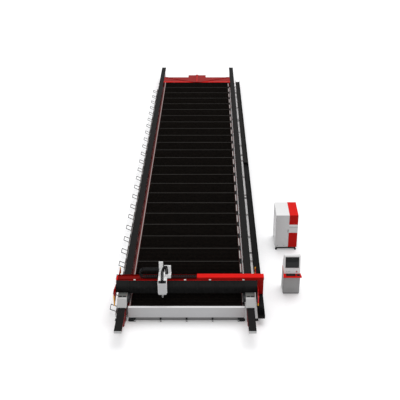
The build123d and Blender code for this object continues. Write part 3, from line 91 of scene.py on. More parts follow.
# %% [markdown]
# ## Floor
# The machine stands on a white studio floor. The floor adds a little light of its own to what the
# camera and the glossy surfaces see, so that it reads as white while it keeps the shadows. More
# lamp light would do that too, but it would burn out the white sheet metal.

# %% Lay the floor
FLOOR_HALF = 300.0
FLOOR_GLOW = 0.22
FLOOR_WHITE = (0.86, 0.86, 0.87, 1.0)

bm = bmesh.new()
bmesh.ops.create_grid(bm, x_segments=1, y_segments=1, size=FLOOR_HALF)
floor_mesh = bpy.data.meshes.new("floor")
bm.to_mesh(floor_mesh)
bm.free()
floor = bpy.data.objects.new("floor", floor_mesh)
bpy.context.scene.collection.objects.link(floor)

floor_paint = bpy.data.materials.new("studio_floor")
floor_paint.use_nodes = True
tree = floor_paint.node_tree
base = tree.nodes["Principled BSDF"]
base.inputs["Base Color"].default_value = FLOOR_WHITE
base.inputs["Roughness"].default_value = 0.9
base.inputs["Specular IOR Level"].default_value = 0.1
glow = tree.nodes.new("ShaderNodeEmission")
path = tree.nodes.new("ShaderNodeLightPath")
seen = tree.nodes.new("ShaderNodeMath")
seen.operation = "MAXIMUM"
tree.links.new(path.outputs["Is Camera Ray"], seen.inputs[0])
tree.links.new(path.outputs["Is Glossy Ray"], seen.inputs[1])
level = tree.nodes.new("ShaderNodeMath")
level.operation = "MULTIPLY"
level.inputs[1].default_value = FLOOR_GLOW
tree.links.new(seen.outputs[0], level.inputs[0])
tree.links.new(level.outputs[0], glow.inputs["Strength"])
both = tree.nodes.new("ShaderNodeAddShader")
tree.links.new(base.outputs[0], both.inputs[0])
tree.links.new(glow.outputs[0], both.inputs[1])
tree.links.new(both.outputs[0], tree.nodes["Material Output"].inputs["Surface"])
floor.data.materials.append(floor_paint)
print("floor", 2 * FLOOR_HALF, "m square")

# %% [markdown]
# ## Light
# One broad, soft sun from above and a little behind leaves pale shadows in front of the machine,
# and an even white sky fills them. A sun lights all thirty metres evenly, which a lamp at a real
# distance would not.

# %% Light the studio
SKY = 0.62
SUN = 1.5
SUN_ANGLE = 50.0
SUN_TURN = (-18.0, 8.0)

world = bpy.data.worlds.new("studio")
world.use_nodes = True
backdrop = world.node_tree.nodes["Background"]
backdrop.inputs["Color"].default_value = (1.0, 1.0, 1.0, 1.0)
backdrop.inputs["Strength"].default_value = SKY
bpy.context.scene.world = world
bpy.context.scene.view_settings.view_transform = "Standard"

sun_data = bpy.data.lights.new("soft_sun", "SUN")
sun_data.energy = SUN
sun_data.angle = math.radians(SUN_ANGLE)
sun = bpy.data.objects.new("soft_sun", sun_data)
sun.rotation_euler = (math.radians(SUN_TURN[0]), math.radians(SUN_TURN[1]), 0.0)
bpy.context.scene.collection.objects.link(sun)
print("sky", SKY, "sun", SUN, "over", SUN_ANGLE, "degrees")

# %% [markdown]
# ## Finishes
# Every finish starts the same way: a Principled shader, the part's own coordinates in metres, and
# a noise that drifts over them. These helpers set down those nodes, so that each finish below
# reads as a short recipe.

# %% Helpers for finishes
def shade(red, green, blue):
    """A colour as a designer names it, 0 to 255, as the linear values that the shader uses."""
    def straight(value):
        value = value / 255.0
        return value / 12.92 if value <= 0.04045 else ((value + 0.055) / 1.055) ** 2.4
    return (straight(red), straight(green), straight(blue), 1.0)


def scaled(colour, share):
    return tuple(min(1.0, channel * share) for channel in colour[:3]) + (1.0,)


def fresh_finish(name):
    """A new material, with its node tree, its shader and the part's own coordinates."""
    material = bpy.data.materials.new(name)
    material.use_nodes = True
    tree = material.node_tree
    place = tree.nodes.new("ShaderNodeTexCoord").outputs["Object"]
    return material, tree, tree.nodes["Principled BSDF"], place


def noise(tree, place, scale, detail=2.0):
    texture = tree.nodes.new("ShaderNodeTexNoise")
    texture.inputs["Scale"].default_value = scale
    texture.inputs["Detail"].default_value = detail
    tree.links.new(place, texture.inputs["Vector"])
    return texture.outputs["Fac"]


def spread(tree, value, low, high):
    """Maps a noise, which stays near its middle, onto a range."""
    node = tree.nodes.new("ShaderNodeMapRange")
    node.inputs["From Min"].default_value = 0.3
    node.inputs["From Max"].default_value = 0.7
    node.inputs["To Min"].default_value = low
    node.inputs["To Max"].default_value = high
    tree.links.new(value, node.inputs["Value"])
    return node.outputs["Result"]


def mix(tree, share, first, second):
    """Blends two colours, each a plain colour or a socket, by a socket."""
    node = tree.nodes.new("ShaderNodeMix")
    node.data_type = "RGBA"
    tree.links.new(share, node.inputs["Factor"])
    for socket, value in ((node.inputs[6], first), (node.inputs[7], second)):
        if isinstance(value, tuple):
            socket.default_value = value
        else:
            tree.links.new(value, socket)
    return node.outputs[2]


def times(tree, first, second):
    node = tree.nodes.new("ShaderNodeMath")
    node.operation = "MULTIPLY"
    tree.links.new(first, node.inputs[0])
    tree.links.new(second, node.inputs[1])
    return node.outputs[0]


def raise_by(tree, shader, height, strength, distance):
    """Lets a pattern tilt the light, as fine relief would."""
    bump = tree.nodes.new("ShaderNodeBump")
    bump.inputs["Strength"].default_value = strength
    bump.inputs["Distance"].default_value = distance
    tree.links.new(height, bump.inputs["Height"])
    tree.links.new(bump.outputs[0], shader.inputs["Normal"])


# %% [markdown]
# Some folded parts wear two coats, such as the guards, which end in grey caps. The frame gives
# such a part as one mesh, so the second coat is a zone: a box of the part's own coordinates.
# Comparing X, Y and Z with the box's sides gives a mask with a hard edge, like masking tape. Some
# zones carry painted shade or a painted highlight instead of a second coat.

# %% Zones of a second coat or of painted light
def zone(colour, x=(None, None), y=(None, None), z=(None, None)):
    """A box that wears another colour. None leaves a side of the box open."""
    low, high = zip(x, y, z)
    return low, high, colour


def inside(tree, place, low, high):
    """A mask that is 1 in the box."""
    apart = tree.nodes.new("ShaderNodeSeparateXYZ")
    tree.links.new(place, apart.inputs[0])
    mask = None
    for axis in range(3):
        for limit, operation in ((low[axis], "GREATER_THAN"), (high[axis], "LESS_THAN")):
            if limit is None:
                continue
            test = tree.nodes.new("ShaderNodeMath")
            test.operation = operation
            tree.links.new(apart.outputs[axis], test.inputs[0])
            test.inputs[1].default_value = limit
            mask = test.outputs[0] if mask is None else times(tree, mask, test.outputs[0])
    return mask


# %% [markdown]
# Nearly every surface is powder-coated sheet. Its colour drifts a little over a metre, its gloss
# drifts over a hand's breadth, and a fine orange-peel bump catches the light. The same function
# also does for moulded plastic and rubber, with a rougher skin and less shine.

# %% A coat of paint
def coat(name, colour, rough=0.4, drift=0.06, peel=0.02, grain=260.0, gloss=0.0, shine=0.2,
         zones=()):
    """Powder coat or plastic: drifting colour and gloss, fine bump, and zones of another colour."""
    material, tree, shader, place = fresh_finish(name)
    large = noise(tree, place, 0.9, 3.0)
    small = noise(tree, place, 14.0, 3.0)
    dark, light = scaled(colour, 1.0 - drift), scaled(colour, 1.0 + drift)
    tone = mix(tree, spread(tree, large, 0.0, 1.0), dark, light)
    for low, high, other in zones:
        tone = mix(tree, inside(tree, place, low, high), tone, other)
    tree.links.new(tone, shader.inputs["Base Color"])
    tree.links.new(spread(tree, small, rough - 0.05, rough + 0.07), shader.inputs["Roughness"])
    shader.inputs["Specular IOR Level"].default_value = shine
    shader.inputs["Coat Weight"].default_value = gloss
    shader.inputs["Coat Roughness"].default_value = 0.12
    raise_by(tree, shader, noise(tree, place, grain), peel, 0.001)
    return material


# %% [markdown]
# Guides, racks and the cutting head are ground or milled. The tool leaves fine lines along one
# direction, so the noise is squeezed on the other two axes until it draws lines.

# %% Ground steel
GRIND = 90.0


def ground_steel(name, colour, along, rough=0.32, metal=0.9):
    """Fine grinding lines that run along one axis of the part."""
    material, tree, shader, place = fresh_finish(name)
    stretch = tree.nodes.new("ShaderNodeMapping")
    stretch.inputs["Scale"].default_value = [1.0 if axis == along else GRIND for axis in range(3)]
    tree.links.new(place, stretch.inputs["Vector"])
    lines = noise(tree, stretch.outputs[0], 6.0, 4.0)
    tone = mix(tree, spread(tree, lines, 0.0, 1.0), scaled(colour, 0.8), scaled(colour, 1.12))
    tree.links.new(tone, shader.inputs["Base Color"])
    tree.links.new(spread(tree, lines, rough - 0.08, rough + 0.1), shader.inputs["Roughness"])
    shader.inputs["Metallic"].default_value = metal
    raise_by(tree, shader, lines, 0.12, 0.0005)
    return material


# %% [markdown]
# The suction duct is galvanised sheet. Zinc cools in flat crystals a thumb's width across, each
# with its own tone and shine. A Voronoi texture gives each cell one random colour, which does for
# both.

# %% Galvanised sheet
CRYSTALS = 45.0


def zinc_sheet(name):
    """Galvanised sheet, with the crystal pattern that the zinc leaves as it cools."""
    material, tree, shader, place = fresh_finish(name)
    crystals = tree.nodes.new("ShaderNodeTexVoronoi")
    crystals.inputs["Scale"].default_value = CRYSTALS
    tree.links.new(place, crystals.inputs["Vector"])
    apart = tree.nodes.new("ShaderNodeSeparateColor")
    tree.links.new(crystals.outputs["Color"], apart.inputs[0])
    tone = mix(tree, apart.outputs[0], shade(150, 154, 158), shade(196, 200, 203))
    tree.links.new(tone, shader.inputs["Base Color"])
    tree.links.new(spread(tree, apart.outputs[1], 0.36, 0.52), shader.inputs["Roughness"])
    shader.inputs["Metallic"].default_value = 0.85
    return material


# %% [markdown]
# The folding covers are woven cloth under a dull black skin. Two crossed wave textures multiply
# into the raised grid of the threads, and a slow noise lays a little dust over it.

# %% Coated cloth
THREADS = 160.0


def coated_cloth(name):
    """A fine woven grid under a dull black skin."""
    material, tree, shader, place = fresh_finish(name)
    threads = []
    for direction in ("X", "Z"):
        wave = tree.nodes.new("ShaderNodeTexWave")
        wave.bands_direction = direction
        wave.inputs["Scale"].default_value = THREADS
        tree.links.new(place, wave.inputs["Vector"])
        threads.append(wave.outputs["Fac"])
    dust = noise(tree, place, 5.0, 4.0)
    tone = mix(tree, spread(tree, dust, 0.0, 1.0), shade(18, 18, 18), shade(27, 27, 27))
    tree.links.new(tone, shader.inputs["Base Color"])
    tree.links.new(spread(tree, dust, 0.5, 0.66), shader.inputs["Roughness"])
    shader.inputs["Specular IOR Level"].default_value = 0.15
    raise_by(tree, shader, times(tree, *threads), 0.25, 0.0006)
    return material


# %% [markdown]
# ## Finishing the steel parts
# The parts that come from the frame keep their shape. Each gets the coat that it wears on the
# machine. A handful of colours make up the whole machine, and the boxes of the parts say where a
# second colour starts.

# %% Colours and places
RED = shade(216, 8, 0)
# Painted shade: the red of faces that look away from the light.
PAINTED_SHADE_RED = shade(150, 5, 2)
DEEP_RED = shade(120, 8, 5)
DARK_RED = shade(84, 24, 22)
BLACK = shade(24, 23, 22)
LIGHT_GREY = shade(190, 190, 190)
PANEL_GREY = shade(196, 196, 197)
MID_GREY = shade(104, 106, 104)
WHITE = shade(232, 232, 232)
AMBER = shade(240, 168, 28)

guard_low, guard_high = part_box("rail_guards")
panel_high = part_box("front_panel")[1]
slat_low, slat_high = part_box("slats")
hood_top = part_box("truck_covers")[1][2]
MIDDLE_X = (slat_low[0] + slat_high[0]) / 2
print("bed centre line at X", round(MIDDLE_X, 3))

# %% [markdown]
# The bed's zones: grey caps end the guards, and the front panel's top edge is painted white, a
# painted highlight where the light falls on its top. The ledges beside the slats are dark red on
# top with a bare strip, and black below, and the cross frames stand on grey feet. The rear beam is
# a deeper red, with plain red along the middle of its top and in a thin band at its top's height.
# Rails and tray stand on black or grey plates, and the drawers' handles are darker than their
# trays.

# %% Zones of the bed
CAP = 0.012
LEDGE_LEFT = MIDDLE_X - 2.1395
LEDGE_RIGHT = MIDDLE_X + 2.1395

cap_zones = [
    zone(LIGHT_GREY, y=(None, guard_low[1] + CAP)),
    zone(LIGHT_GREY, y=(guard_high[1] - CAP, None)),
]
panel_zones = [
    zone(shade(196, 196, 196), z=(None, 0.234)),
    # Painted highlight: the top edge is painted white where the light falls on it.
    zone(WHITE, z=(panel_high[2] - 0.004, None)),
]
table_zones = [
    zone(shade(92, 12, 8), x=(None, LEDGE_LEFT), z=(0.599, None)),
    zone(shade(156, 146, 144), x=(MIDDLE_X - 2.182, MIDDLE_X - 2.146), z=(0.599, None)),
    zone(shade(70, 14, 10), x=(LEDGE_RIGHT, None), z=(0.595, None)),
    zone(shade(168, 164, 162), x=(MIDDLE_X + 2.146, MIDDLE_X + 2.19), z=(0.599, None)),
    zone(BLACK, x=(None, LEDGE_LEFT), z=(None, 0.599)),
    zone(BLACK, x=(LEDGE_RIGHT, None), z=(None, 0.589)),
    zone(shade(204, 204, 204), x=(LEDGE_LEFT, LEDGE_RIGHT), z=(None, 0.1)),
]
rear_zones = [
    # Plain red along the middle of the top and in a thin band at the top's height.
    zone(RED, x=(MIDDLE_X - 0.02, MIDDLE_X + 0.02), z=(0.7005, None)),
    zone(RED, y=(None, 12.0), z=(0.699, 0.7005)),
]
rail_zones = [
    zone(BLACK, z=(None, 0.021)),
    zone(shade(222, 222, 222), x=(MIDDLE_X + 2.55, None), y=(-13.0, None), z=(None, 0.021)),
]
tray_zones = [zone(shade(216, 216, 216), x=(None, 1.8405), z=(None, 0.2955))]
drawer_zones = [zone(shade(86, 87, 88), x=(None, MIDDLE_X - 2.7605))]

# %% [markdown]
# The gantry's zones: its wings and its raised cover are painted a deeper red below their top
# faces, as painted shade on the faces that look away from the light. The frames at the beam's
# ends are black beside the folding covers, and the truck covers have a dark top and back. The
# work lamps along the beam's front edge are white, the strip on the right wing's front is red
# between its amber ends, and the slide's white cover has a greyer front.

# %% Zones of the gantry
FRAME_SIDES = (2.23, 2.264)

beam_zones = [
    # Painted shade on both wings below their top edge.
    zone(PAINTED_SHADE_RED, x=(None, MIDDLE_X - 2.66), z=(None, 1.396)),
    zone(PAINTED_SHADE_RED, x=(MIDDLE_X + 2.66, None), z=(None, 1.396)),
    zone(BLACK, x=(MIDDLE_X - FRAME_SIDES[1], MIDDLE_X - FRAME_SIDES[0]), y=(-13.2, -12.77),
         z=(0.8, 1.3999)),
    zone(BLACK, x=(MIDDLE_X + FRAME_SIDES[0], MIDDLE_X + FRAME_SIDES[1]), y=(-13.2, -12.77),
         z=(0.8, 1.3999)),
]
# Painted shade on the raised cover below its top face.
top_cover_shade_zones = [zone(PAINTED_SHADE_RED, z=(None, 1.494))]
hood_zones = [
    zone(MID_GREY, y=(-13.34, None), z=(0.996, None)),
    zone(MID_GREY, y=(-12.9, None)),
]
lamp_zones = [
    zone(shade(238, 238, 236), z=(1.39, None)),
    zone(RED, x=(0.0, None), y=(None, -13.0), z=(0.88, 1.3)),
]
slide_zones = [zone(shade(198, 198, 199), y=(None, -13.2685))]

# %% [markdown]
# The console's head is white round a dark screen field, its case stands on a black plinth, and
# the keyboard is let into the red shelf. The cabinet's front is painted greyer than its sides, and
# its red trim is painted deeper there too: painted shade, since the front faces away from the
# light.

# %% Zones of the console and the cabinet
TRIM_EDGE = 3.4995
LEAF = -8.459

screen_zones = [
    zone(shade(38, 40, 40), x=(3.0345, 3.5775), y=(None, -11.55), z=(1.2285, 1.6575)),
]
case_zones = [zone(BLACK, z=(None, 0.0435))]
keyboard_zones = [zone(shade(40, 44, 40), x=(3.05, 3.44), y=(-11.93, -11.77), z=(0.9904, None))]
cabinet_zones = [
    zone(shade(44, 44, 45), z=(None, 0.15)),
    # The front zones are painted shade.
    zone(shade(204, 204, 204), x=(None, TRIM_EDGE), y=(None, LEAF), z=(0.15, None)),
    zone(shade(210, 210, 210), x=(TRIM_EDGE, None), y=(None, LEAF), z=(0.15, 1.19)),
    zone(shade(228, 228, 228), x=(TRIM_EDGE, None), y=(None, LEAF), z=(1.19, None)),
]
# Painted shade on the trim's front face.
trim_zones = [zone(shade(180, 8, 3), y=(None, -8.4605))]

# %% [markdown]
# Now the coats themselves. The reds share one recipe and the whites another. Black parts get
# little shine, because a bright studio would turn them grey, and lamps and the stop button get a
# clear coat.

# %% Mix the coats
BRIGHT_RED = {"rough": 0.36, "drift": 0.03, "shine": 0.08}
CLEAN_WHITE = {"rough": 0.3, "drift": 0.02, "peel": 0.006}
DULL_BLACK = {"rough": 0.6, "drift": 0.12, "shine": 0.1}

frame_red = coat("frame_red", RED, **BRIGHT_RED)
rail_red = coat("rail_red", DEEP_RED, rough=0.4, zones=rail_zones)
tray_red = coat("tray_red", shade(120, 4, 0), rough=0.5, drift=0.05, shine=0.06)
guard_black = coat("guard_black", shade(19, 18, 18), zones=cap_zones, **DULL_BLACK)
tray_black = coat("tray_black", BLACK, zones=tray_zones, **DULL_BLACK)
table_red = coat("table_red", DARK_RED, rough=0.5, drift=0.12, zones=table_zones)
panel_grey = coat("panel_grey", PANEL_GREY, rough=0.38, drift=0.03, zones=panel_zones)
cover_grey = coat("cover_grey", LIGHT_GREY, rough=0.38, drift=0.03, zones=hood_zones)
cover_white = coat("cover_white", WHITE, **CLEAN_WHITE)
drawer_coat = coat("drawer_coat", shade(206, 206, 205), rough=0.45, drift=0.05, zones=drawer_zones)
motor_black = coat("motor_black", shade(30, 30, 32), rough=0.42, drift=0.08, shine=0.15)
chain_plastic = coat("chain_plastic", shade(22, 22, 23), rough=0.55, drift=0.1, peel=0.06,
                     grain=500.0, shine=0.12)
amber_lens = coat("amber_lens", AMBER, rough=0.22, drift=0.03, gloss=0.3, zones=lamp_zones)
console_grey = coat("console_grey", shade(156, 156, 156), rough=0.4, drift=0.03, zones=case_zones)
beam_red = coat("beam_red", RED, zones=beam_zones, **BRIGHT_RED)
top_red = coat("top_red", RED, zones=top_cover_shade_zones, **BRIGHT_RED)
rear_red = coat("rear_red", shade(146, 3, 0), rough=0.36, drift=0.05, shine=0.08, zones=rear_zones)
slide_white = coat("slide_white", WHITE, zones=slide_zones, **CLEAN_WHITE)
shelf_red = coat("shelf_red", RED, zones=keyboard_zones, **BRIGHT_RED)
cabinet_white = coat("cabinet_white", WHITE, zones=cabinet_zones, **CLEAN_WHITE)
cabinet_red = coat("cabinet_red", RED, zones=trim_zones, **BRIGHT_RED)
console_white = coat("console_white", WHITE, rough=0.32, drift=0.02, peel=0.006,
                     zones=screen_zones)
stop_red = coat("stop_red", shade(206, 16, 14), rough=0.25, drift=0.03, gloss=0.5)
rail_steel = ground_steel("rail_steel", shade(178, 180, 182), along=1)
guide_steel = ground_steel("guide_steel", shade(74, 76, 80), along=1, rough=0.45)
machine_steel = ground_steel("machine_steel", shade(140, 142, 146), along=0, rough=0.4)
head_aluminium = ground_steel("head_aluminium", shade(222, 222, 224), along=2, rough=0.36,
                              metal=0.5)
duct_zinc = zinc_sheet("duct_zinc")
bellows_cloth = coated_cloth("bellows_cloth")
rubber = coat("rubber", shade(15, 15, 15), rough=0.6, drift=0.08, peel=0.05, grain=700.0,
              shine=0.08)
carriage_white = coat("carriage_white", shade(250, 250, 250), rough=0.3, drift=0.01, peel=0.006)
print("coats", len(bpy.data.materials))

# %% [markdown]
# The slats are cut from black plate and catch the laser's sparks: their top edges are burnt brown
# and grey, and the rest stays dark. The burn follows the height on the slat, and a noise breaks
# it up.

# %% Burn the slats
BURN_DEPTH = 0.03
PLATE_TONES = (shade(17, 15, 14), shade(29, 26, 24))
BURNT_EDGE = shade(44, 37, 32)

slat_steel, tree, shader, place = fresh_finish("slat_steel")
apart = tree.nodes.new("ShaderNodeSeparateXYZ")
tree.links.new(place, apart.inputs[0])
burn = tree.nodes.new("ShaderNodeMapRange")
burn.inputs["From Min"].default_value = slat_high[2] - BURN_DEPTH
burn.inputs["From Max"].default_value = slat_high[2] + 0.004
tree.links.new(apart.outputs[2], burn.inputs["Value"])
spots = noise(tree, place, 9.0, 5.0)
broken = times(tree, burn.outputs[0], spread(tree, spots, 0.2, 1.0))
tone = mix(tree, broken, mix(tree, spread(tree, spots, 0.0, 1.0), *PLATE_TONES), BURNT_EDGE)
tree.links.new(tone, shader.inputs["Base Color"])
tree.links.new(spread(tree, spots, 0.6, 0.8), shader.inputs["Roughness"])
shader.inputs["Specular IOR Level"].default_value = 0.06
raise_by(tree, shader, noise(tree, place, 120.0, 3.0), 0.3, 0.001)
print("slats burnt", BURN_DEPTH, "m deep")

# %% [markdown]
# Each part of the frame has one material slot to fill. A table says which coat goes on which
# part, and what is not in the table is one of the twenty-five scrap drawers.

# %% Give each part its coat
COATS = {
    "rail_beams": rail_red,
    "rail_guards": guard_black,
    "rails_and_racks": guide_steel,
    "table_frame": table_red,
    "slats": slat_steel,
    "front_panel": panel_grey,
    "rear_beam": rear_red,
    "exhaust_duct": duct_zinc,
    "chain_tray": tray_black,
    "main_chain_lower": chain_plastic,
    "main_chain_upper": chain_plastic,
    "main_chain_loop": chain_plastic,
    "gantry_beam": beam_red,
    "truck_frames": machine_steel,
    "truck_covers": cover_grey,
    "drive_motors": motor_black,
    "beam_top_cover": top_red,
    "cross_chain_tray": tray_red,
    "cross_chain_lower": chain_plastic,
    "cross_chain_upper": chain_plastic,
    "cross_chain_loop": chain_plastic,
    "bellows_left": bellows_cloth,
    "bellows_right": bellows_cloth,
    "gantry_lights": amber_lens,
    "carriage": carriage_white,
    "z_cover": slide_white,
    "cutting_head": head_aluminium,
    "head_hoses": rubber,
    "console_body": console_grey,
    "console_shelf": shelf_red,
    "console_head": console_white,
    "console_door": console_grey,
    "estop_button": stop_red,
    "cabinet_shell": cabinet_white,
    "cabinet_trim": cabinet_red,
}
for name, part in nodes.items():
    part.data.materials.clear()
    part.data.materials.append(COATS.get(name, drawer_coat))
print("coated", len(COATS), "parts and", len(nodes) - len(COATS), "drawers")

# %% [markdown]
# ## Modelling helpers
# New pieces start from primitive operators, set down by a matrix in the machine's own frame. A
# point is written as on the drawing of the bed, whose middle is X = 0, and `at` moves it to its
# place. Nearly all sheet-metal detail is a bevelled block, and nearly all turned detail is a rod.

# %% Helpers for shapes
def at(x, y, z):
    return Vector((MIDDLE_X + x, y, z))


def block(bm, low, high, edge=0.0, steps=2):
    """A box between two corners, with its edges rounded if asked."""
    low, high = Vector(low), Vector(high)
    place = Matrix.Translation((low + high) / 2) @ Matrix.Diagonal((*(high - low), 1.0))
    corners = bmesh.ops.create_cube(bm, size=1.0, matrix=place)["verts"]
    if edge:
        edges = list(dict.fromkeys(e for v in corners for e in v.link_edges))
        bmesh.ops.bevel(bm, geom=edges, offset=edge, segments=steps, profile=0.5, affect="EDGES",
                        material=-1)


def rod(bm, start, end, radius, sides=16, tip=None):
    """A round bar between two points, or a cone if the tip's radius differs."""
    start, end = Vector(start), Vector(end)
    turn = (end - start).to_track_quat("Z", "Y").to_matrix().to_4x4()
    return bmesh.ops.create_cone(
        bm, cap_ends=True, segments=sides, radius1=radius, radius2=radius if tip is None else tip,
        depth=(end - start).length, matrix=Matrix.Translation((start + end) / 2) @ turn,
    )["verts"]


def screws(bm, places, direction, radius=0.009, head=0.005):
    """Hexagon screw heads, each with a washer under it."""
    direction = Vector(direction)
    for place in places:
        place = Vector(place)
        top_of_washer = place + direction * head * 0.3
        rod(bm, place, top_of_washer, radius * 1.5, 10)
        rod(bm, top_of_washer, place + direction * head, radius, 6)


# %% [markdown]
# A drawn mesh becomes a piece in one place. Its faces are turned outwards, its curved faces are
# shaded smooth while its corners stay sharp, and it is told which body it rides on, which finish
# it wears, and which part of the frame it stands for.

# %% Turn a drawn mesh into a piece
SHARP = math.radians(32.0)


def piece(name, bm, material, body, stands_for=(), turn_out=True):
    if turn_out:
        bmesh.ops.recalc_face_normals(bm, faces=bm.faces)
    mesh = bpy.data.meshes.new(name)
    bm.to_mesh(mesh)
    bm.free()
    made = bpy.data.objects.new(name, mesh)
    bpy.context.scene.collection.objects.link(made)
    mesh.materials.append(material)
    mesh.shade_smooth()
    mesh.set_sharp_from_angle(angle=SHARP)
    if body:
        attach(made, body)
    if stands_for:
        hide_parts(*stands_for)
    print(name, len(mesh.polygons), "faces")
    return made


# %% [markdown]
# ## Folding covers
# The beam's slide is kept clean by two folding covers of coated cloth, one each side of the
# carriage. Each is a bent wall seen from the side, and an accordion seen from above. This is the
# outline seen from the side, which the folds and the end hoods share.

# %% Outline of the covers
BEND_RADIUS = 0.13
BEND_START = 0.09
SLOPE_HEIGHT = 0.145
BEND_STEPS = 4
OUTER_GAP = 0.001


def cover_outline(low, high, inwards):
    """The cover from its lower edge, up its face and round to its slope, moved in by a fold."""
    face, rear = low[1] + inwards, high[1]
    bend = high[2] - SLOPE_HEIGHT - BEND_START
    points = [Vector((0, face, low[2] + 0.4 * inwards)), Vector((0, face, bend))]
    for step in range(1, BEND_STEPS + 1):
        turn = math.radians(60.0 * step / BEND_STEPS)
        back, up = BEND_RADIUS * (1 - math.cos(turn)), BEND_RADIUS * math.sin(turn)
        points.append(Vector((0, face + back, bend + up)))
    points.append(Vector((0, rear, high[2] - 0.9 * inwards)))
    return points


def lay_row(bm, outline, x):
    """The outline as a row of edges at one X."""
    row = [bm.verts.new(point + Vector((x, 0, 0))) for point in outline]
    return [bm.edges.new(pair) for pair in zip(row[:-1], row[1:])]


# %% [markdown]
# The outline is drawn out along the beam a fold at a time, and every second copy is drawn in
# towards the beam. Cloth simulation isn't needed: a real cover's folds are creased in.

# %% Draw the accordions
FOLD_PITCH = 0.0275
FOLD_DEPTH = 0.022


def folding_cover(name, node):
    low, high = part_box(node)
    bm = bmesh.new()
    outer = cover_outline(low, high, OUTER_GAP)
    inner = cover_outline(low, high, FOLD_DEPTH)
    folds = 2 * round((high[0] - low[0]) / FOLD_PITCH / 2)
    step = (high[0] - low[0]) / folds
    edges = lay_row(bm, outer, low[0])
    for fold in range(1, folds + 1):
        made = bmesh.ops.extrude_edge_only(bm, edges=edges)["geom"]
        row = [v for v in made if isinstance(v, bmesh.types.BMVert)]
        edges = [e for e in made if isinstance(e, bmesh.types.BMEdge)]
        row.sort(key=lambda v: (round(v.co.z, 5), v.co.y))
        for vert, point in zip(row, inner if fold % 2 else outer):
            vert.co = point + Vector((low[0] + fold * step, 0, 0))
    width = sum((b - a).length for a, b in zip(outer[:-1], outer[1:]))
    length = sum(face.calc_area() for face in bm.faces) / width
    cover = piece(name, bm, bellows_cloth, None, [node], turn_out=False)
    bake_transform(cover)


folding_cover("folding_cover_left", "bellows_left")
folding_cover("folding_cover_right", "bellows_right")

# %% [markdown]
# Past the folding covers the beam's ends wear fixed black hoods of the same outline, down to the
# truck covers. Each hood is folded sheet: the outline drawn out once and given its thickness,
# with screws near its ends.

# %% Hood the beam's ends
HOOD_GAP = 0.004
HOOD_FROM, HOOD_TO = 2.2405, 2.715
SHEET = 0.003


def end_hood(name, x0, x1):
    low, high = (Vector(corner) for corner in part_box("bellows_left"))
    low.z = hood_top + HOOD_GAP
    bm = bmesh.new()
    edges = lay_row(bm, cover_outline(low, high, OUTER_GAP), x0)
    made = bmesh.ops.extrude_edge_only(bm, edges=edges)["geom"]
    drawn = [v for v in made if isinstance(v, bmesh.types.BMVert)]
    bmesh.ops.translate(bm, verts=drawn, vec=(x1 - x0, 0, 0))
    bmesh.ops.recalc_face_normals(bm, faces=bm.faces)
    for face in bm.faces:
        if face.normal.y > 0.2 or face.normal.z < -0.2:
            face.normal_flip()
    bmesh.ops.solidify(bm, geom=bm.faces[:], thickness=SHEET)
    for x in (x0 + 0.03, x1 - 0.03):
        for z in (low.z + 0.04, high.z - 0.24):
            screws(bm, [(x, low.y, z)], (0, -1, 0), radius=0.007, head=0.0009)
    piece(name, bm, hood_black, "gantry", turn_out=False)


hood_black = coat("hood_black", shade(22, 22, 22), rough=0.5, drift=0.08, shine=0.12)
end_hood("beam_hood_left", MIDDLE_X - HOOD_TO, MIDDLE_X - HOOD_FROM)
end_hood("beam_hood_right", MIDDLE_X + HOOD_FROM, MIDDLE_X + HOOD_TO)

# %% [markdown]
# ## Energy chains
# Hoses and cables reach the gantry and the carriage through chains of plastic links. The four
# straight runs are drawn link by link: two side plates joined by a cross bar at the top and one
# at the bottom. A list of shares says where one link ends and the next begins, so that a run can
# be even, or crowded where its links wait folded.

# %% Draw a run of links
PLATE = 0.010
BAR = 0.006
LINK = 0.07
JOINT_GAP = 0.004


def links(bm, start, end, across, height, shares, slim=0.0):
    """A straight run of links between two points."""
    start, end, across = Vector(start), Vector(end), Vector(across)
    side, half = across.normalized(), across.length / 2 - slim
    rise = Vector((0, 0, height / 2 - slim))
    bar_side = side * (half - PLATE)
    for first, last in zip(shares[:-1], shares[1:]):
        a, b = start.lerp(end, first), start.lerp(end, last)
        step = b - a
        a, b = a + step * JOINT_GAP, b - step * JOINT_GAP
        bar_a, bar_b = a + step * 0.25, b - step * 0.25
        for way in (-1, 1):
            plate_in = side * way * (half - PLATE)
            block(bm, a + side * way * half - rise, b + plate_in + rise)
            outer, inner = rise * way, rise * way * (1 - BAR / rise.z)
            block(bm, bar_a - bar_side + outer, bar_b + bar_side + inner)


def even(count):
    return [share / count for share in range(count + 1)]


def run(name, body, start, end, across, height, shares, slim=0.0, stands_for=()):
    bm = bmesh.new()
    links(bm, start, end, across, height, shares, slim)
    return piece(name, bm, chain_plastic, body, stands_for)


# %% [markdown]
# The long chain's lower run lies in its tray and gives length to the loop as the gantry drives. A
# slimmer tail rides with the loop, and fills the place left when the loop drives the other way.
# The upper run reaches from the loop to the gantry's arm, and most of its links wait folded under
# the arm's foot.

# %% Lay the long chain
TAIL = 0.6
TAIL_LINKS = 9
TAIL_SLIM = 0.001
OPEN_LINKS = 10
FOLDED_LINKS = 180
FOOT_OVERLAP = 0.03

low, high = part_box("main_chain_lower")
x, z, height = (low[0] + high[0]) / 2, (low[2] + high[2]) / 2, high[2] - low[2]
wide = Vector((high[0] - low[0], 0, 0))
loop_end, fixed_end = (x, low[1], z), (x, high[1], z)
lower = run("main_run_lower", "bed", loop_end, fixed_end, wide, height,
            even(round((high[1] - low[1]) / LINK)), stands_for=["main_chain_lower"])
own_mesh(lower)
run("main_run_tail", "main_loop", loop_end, (x, low[1] + TAIL, z), wide, height,
    even(TAIL_LINKS), TAIL_SLIM)

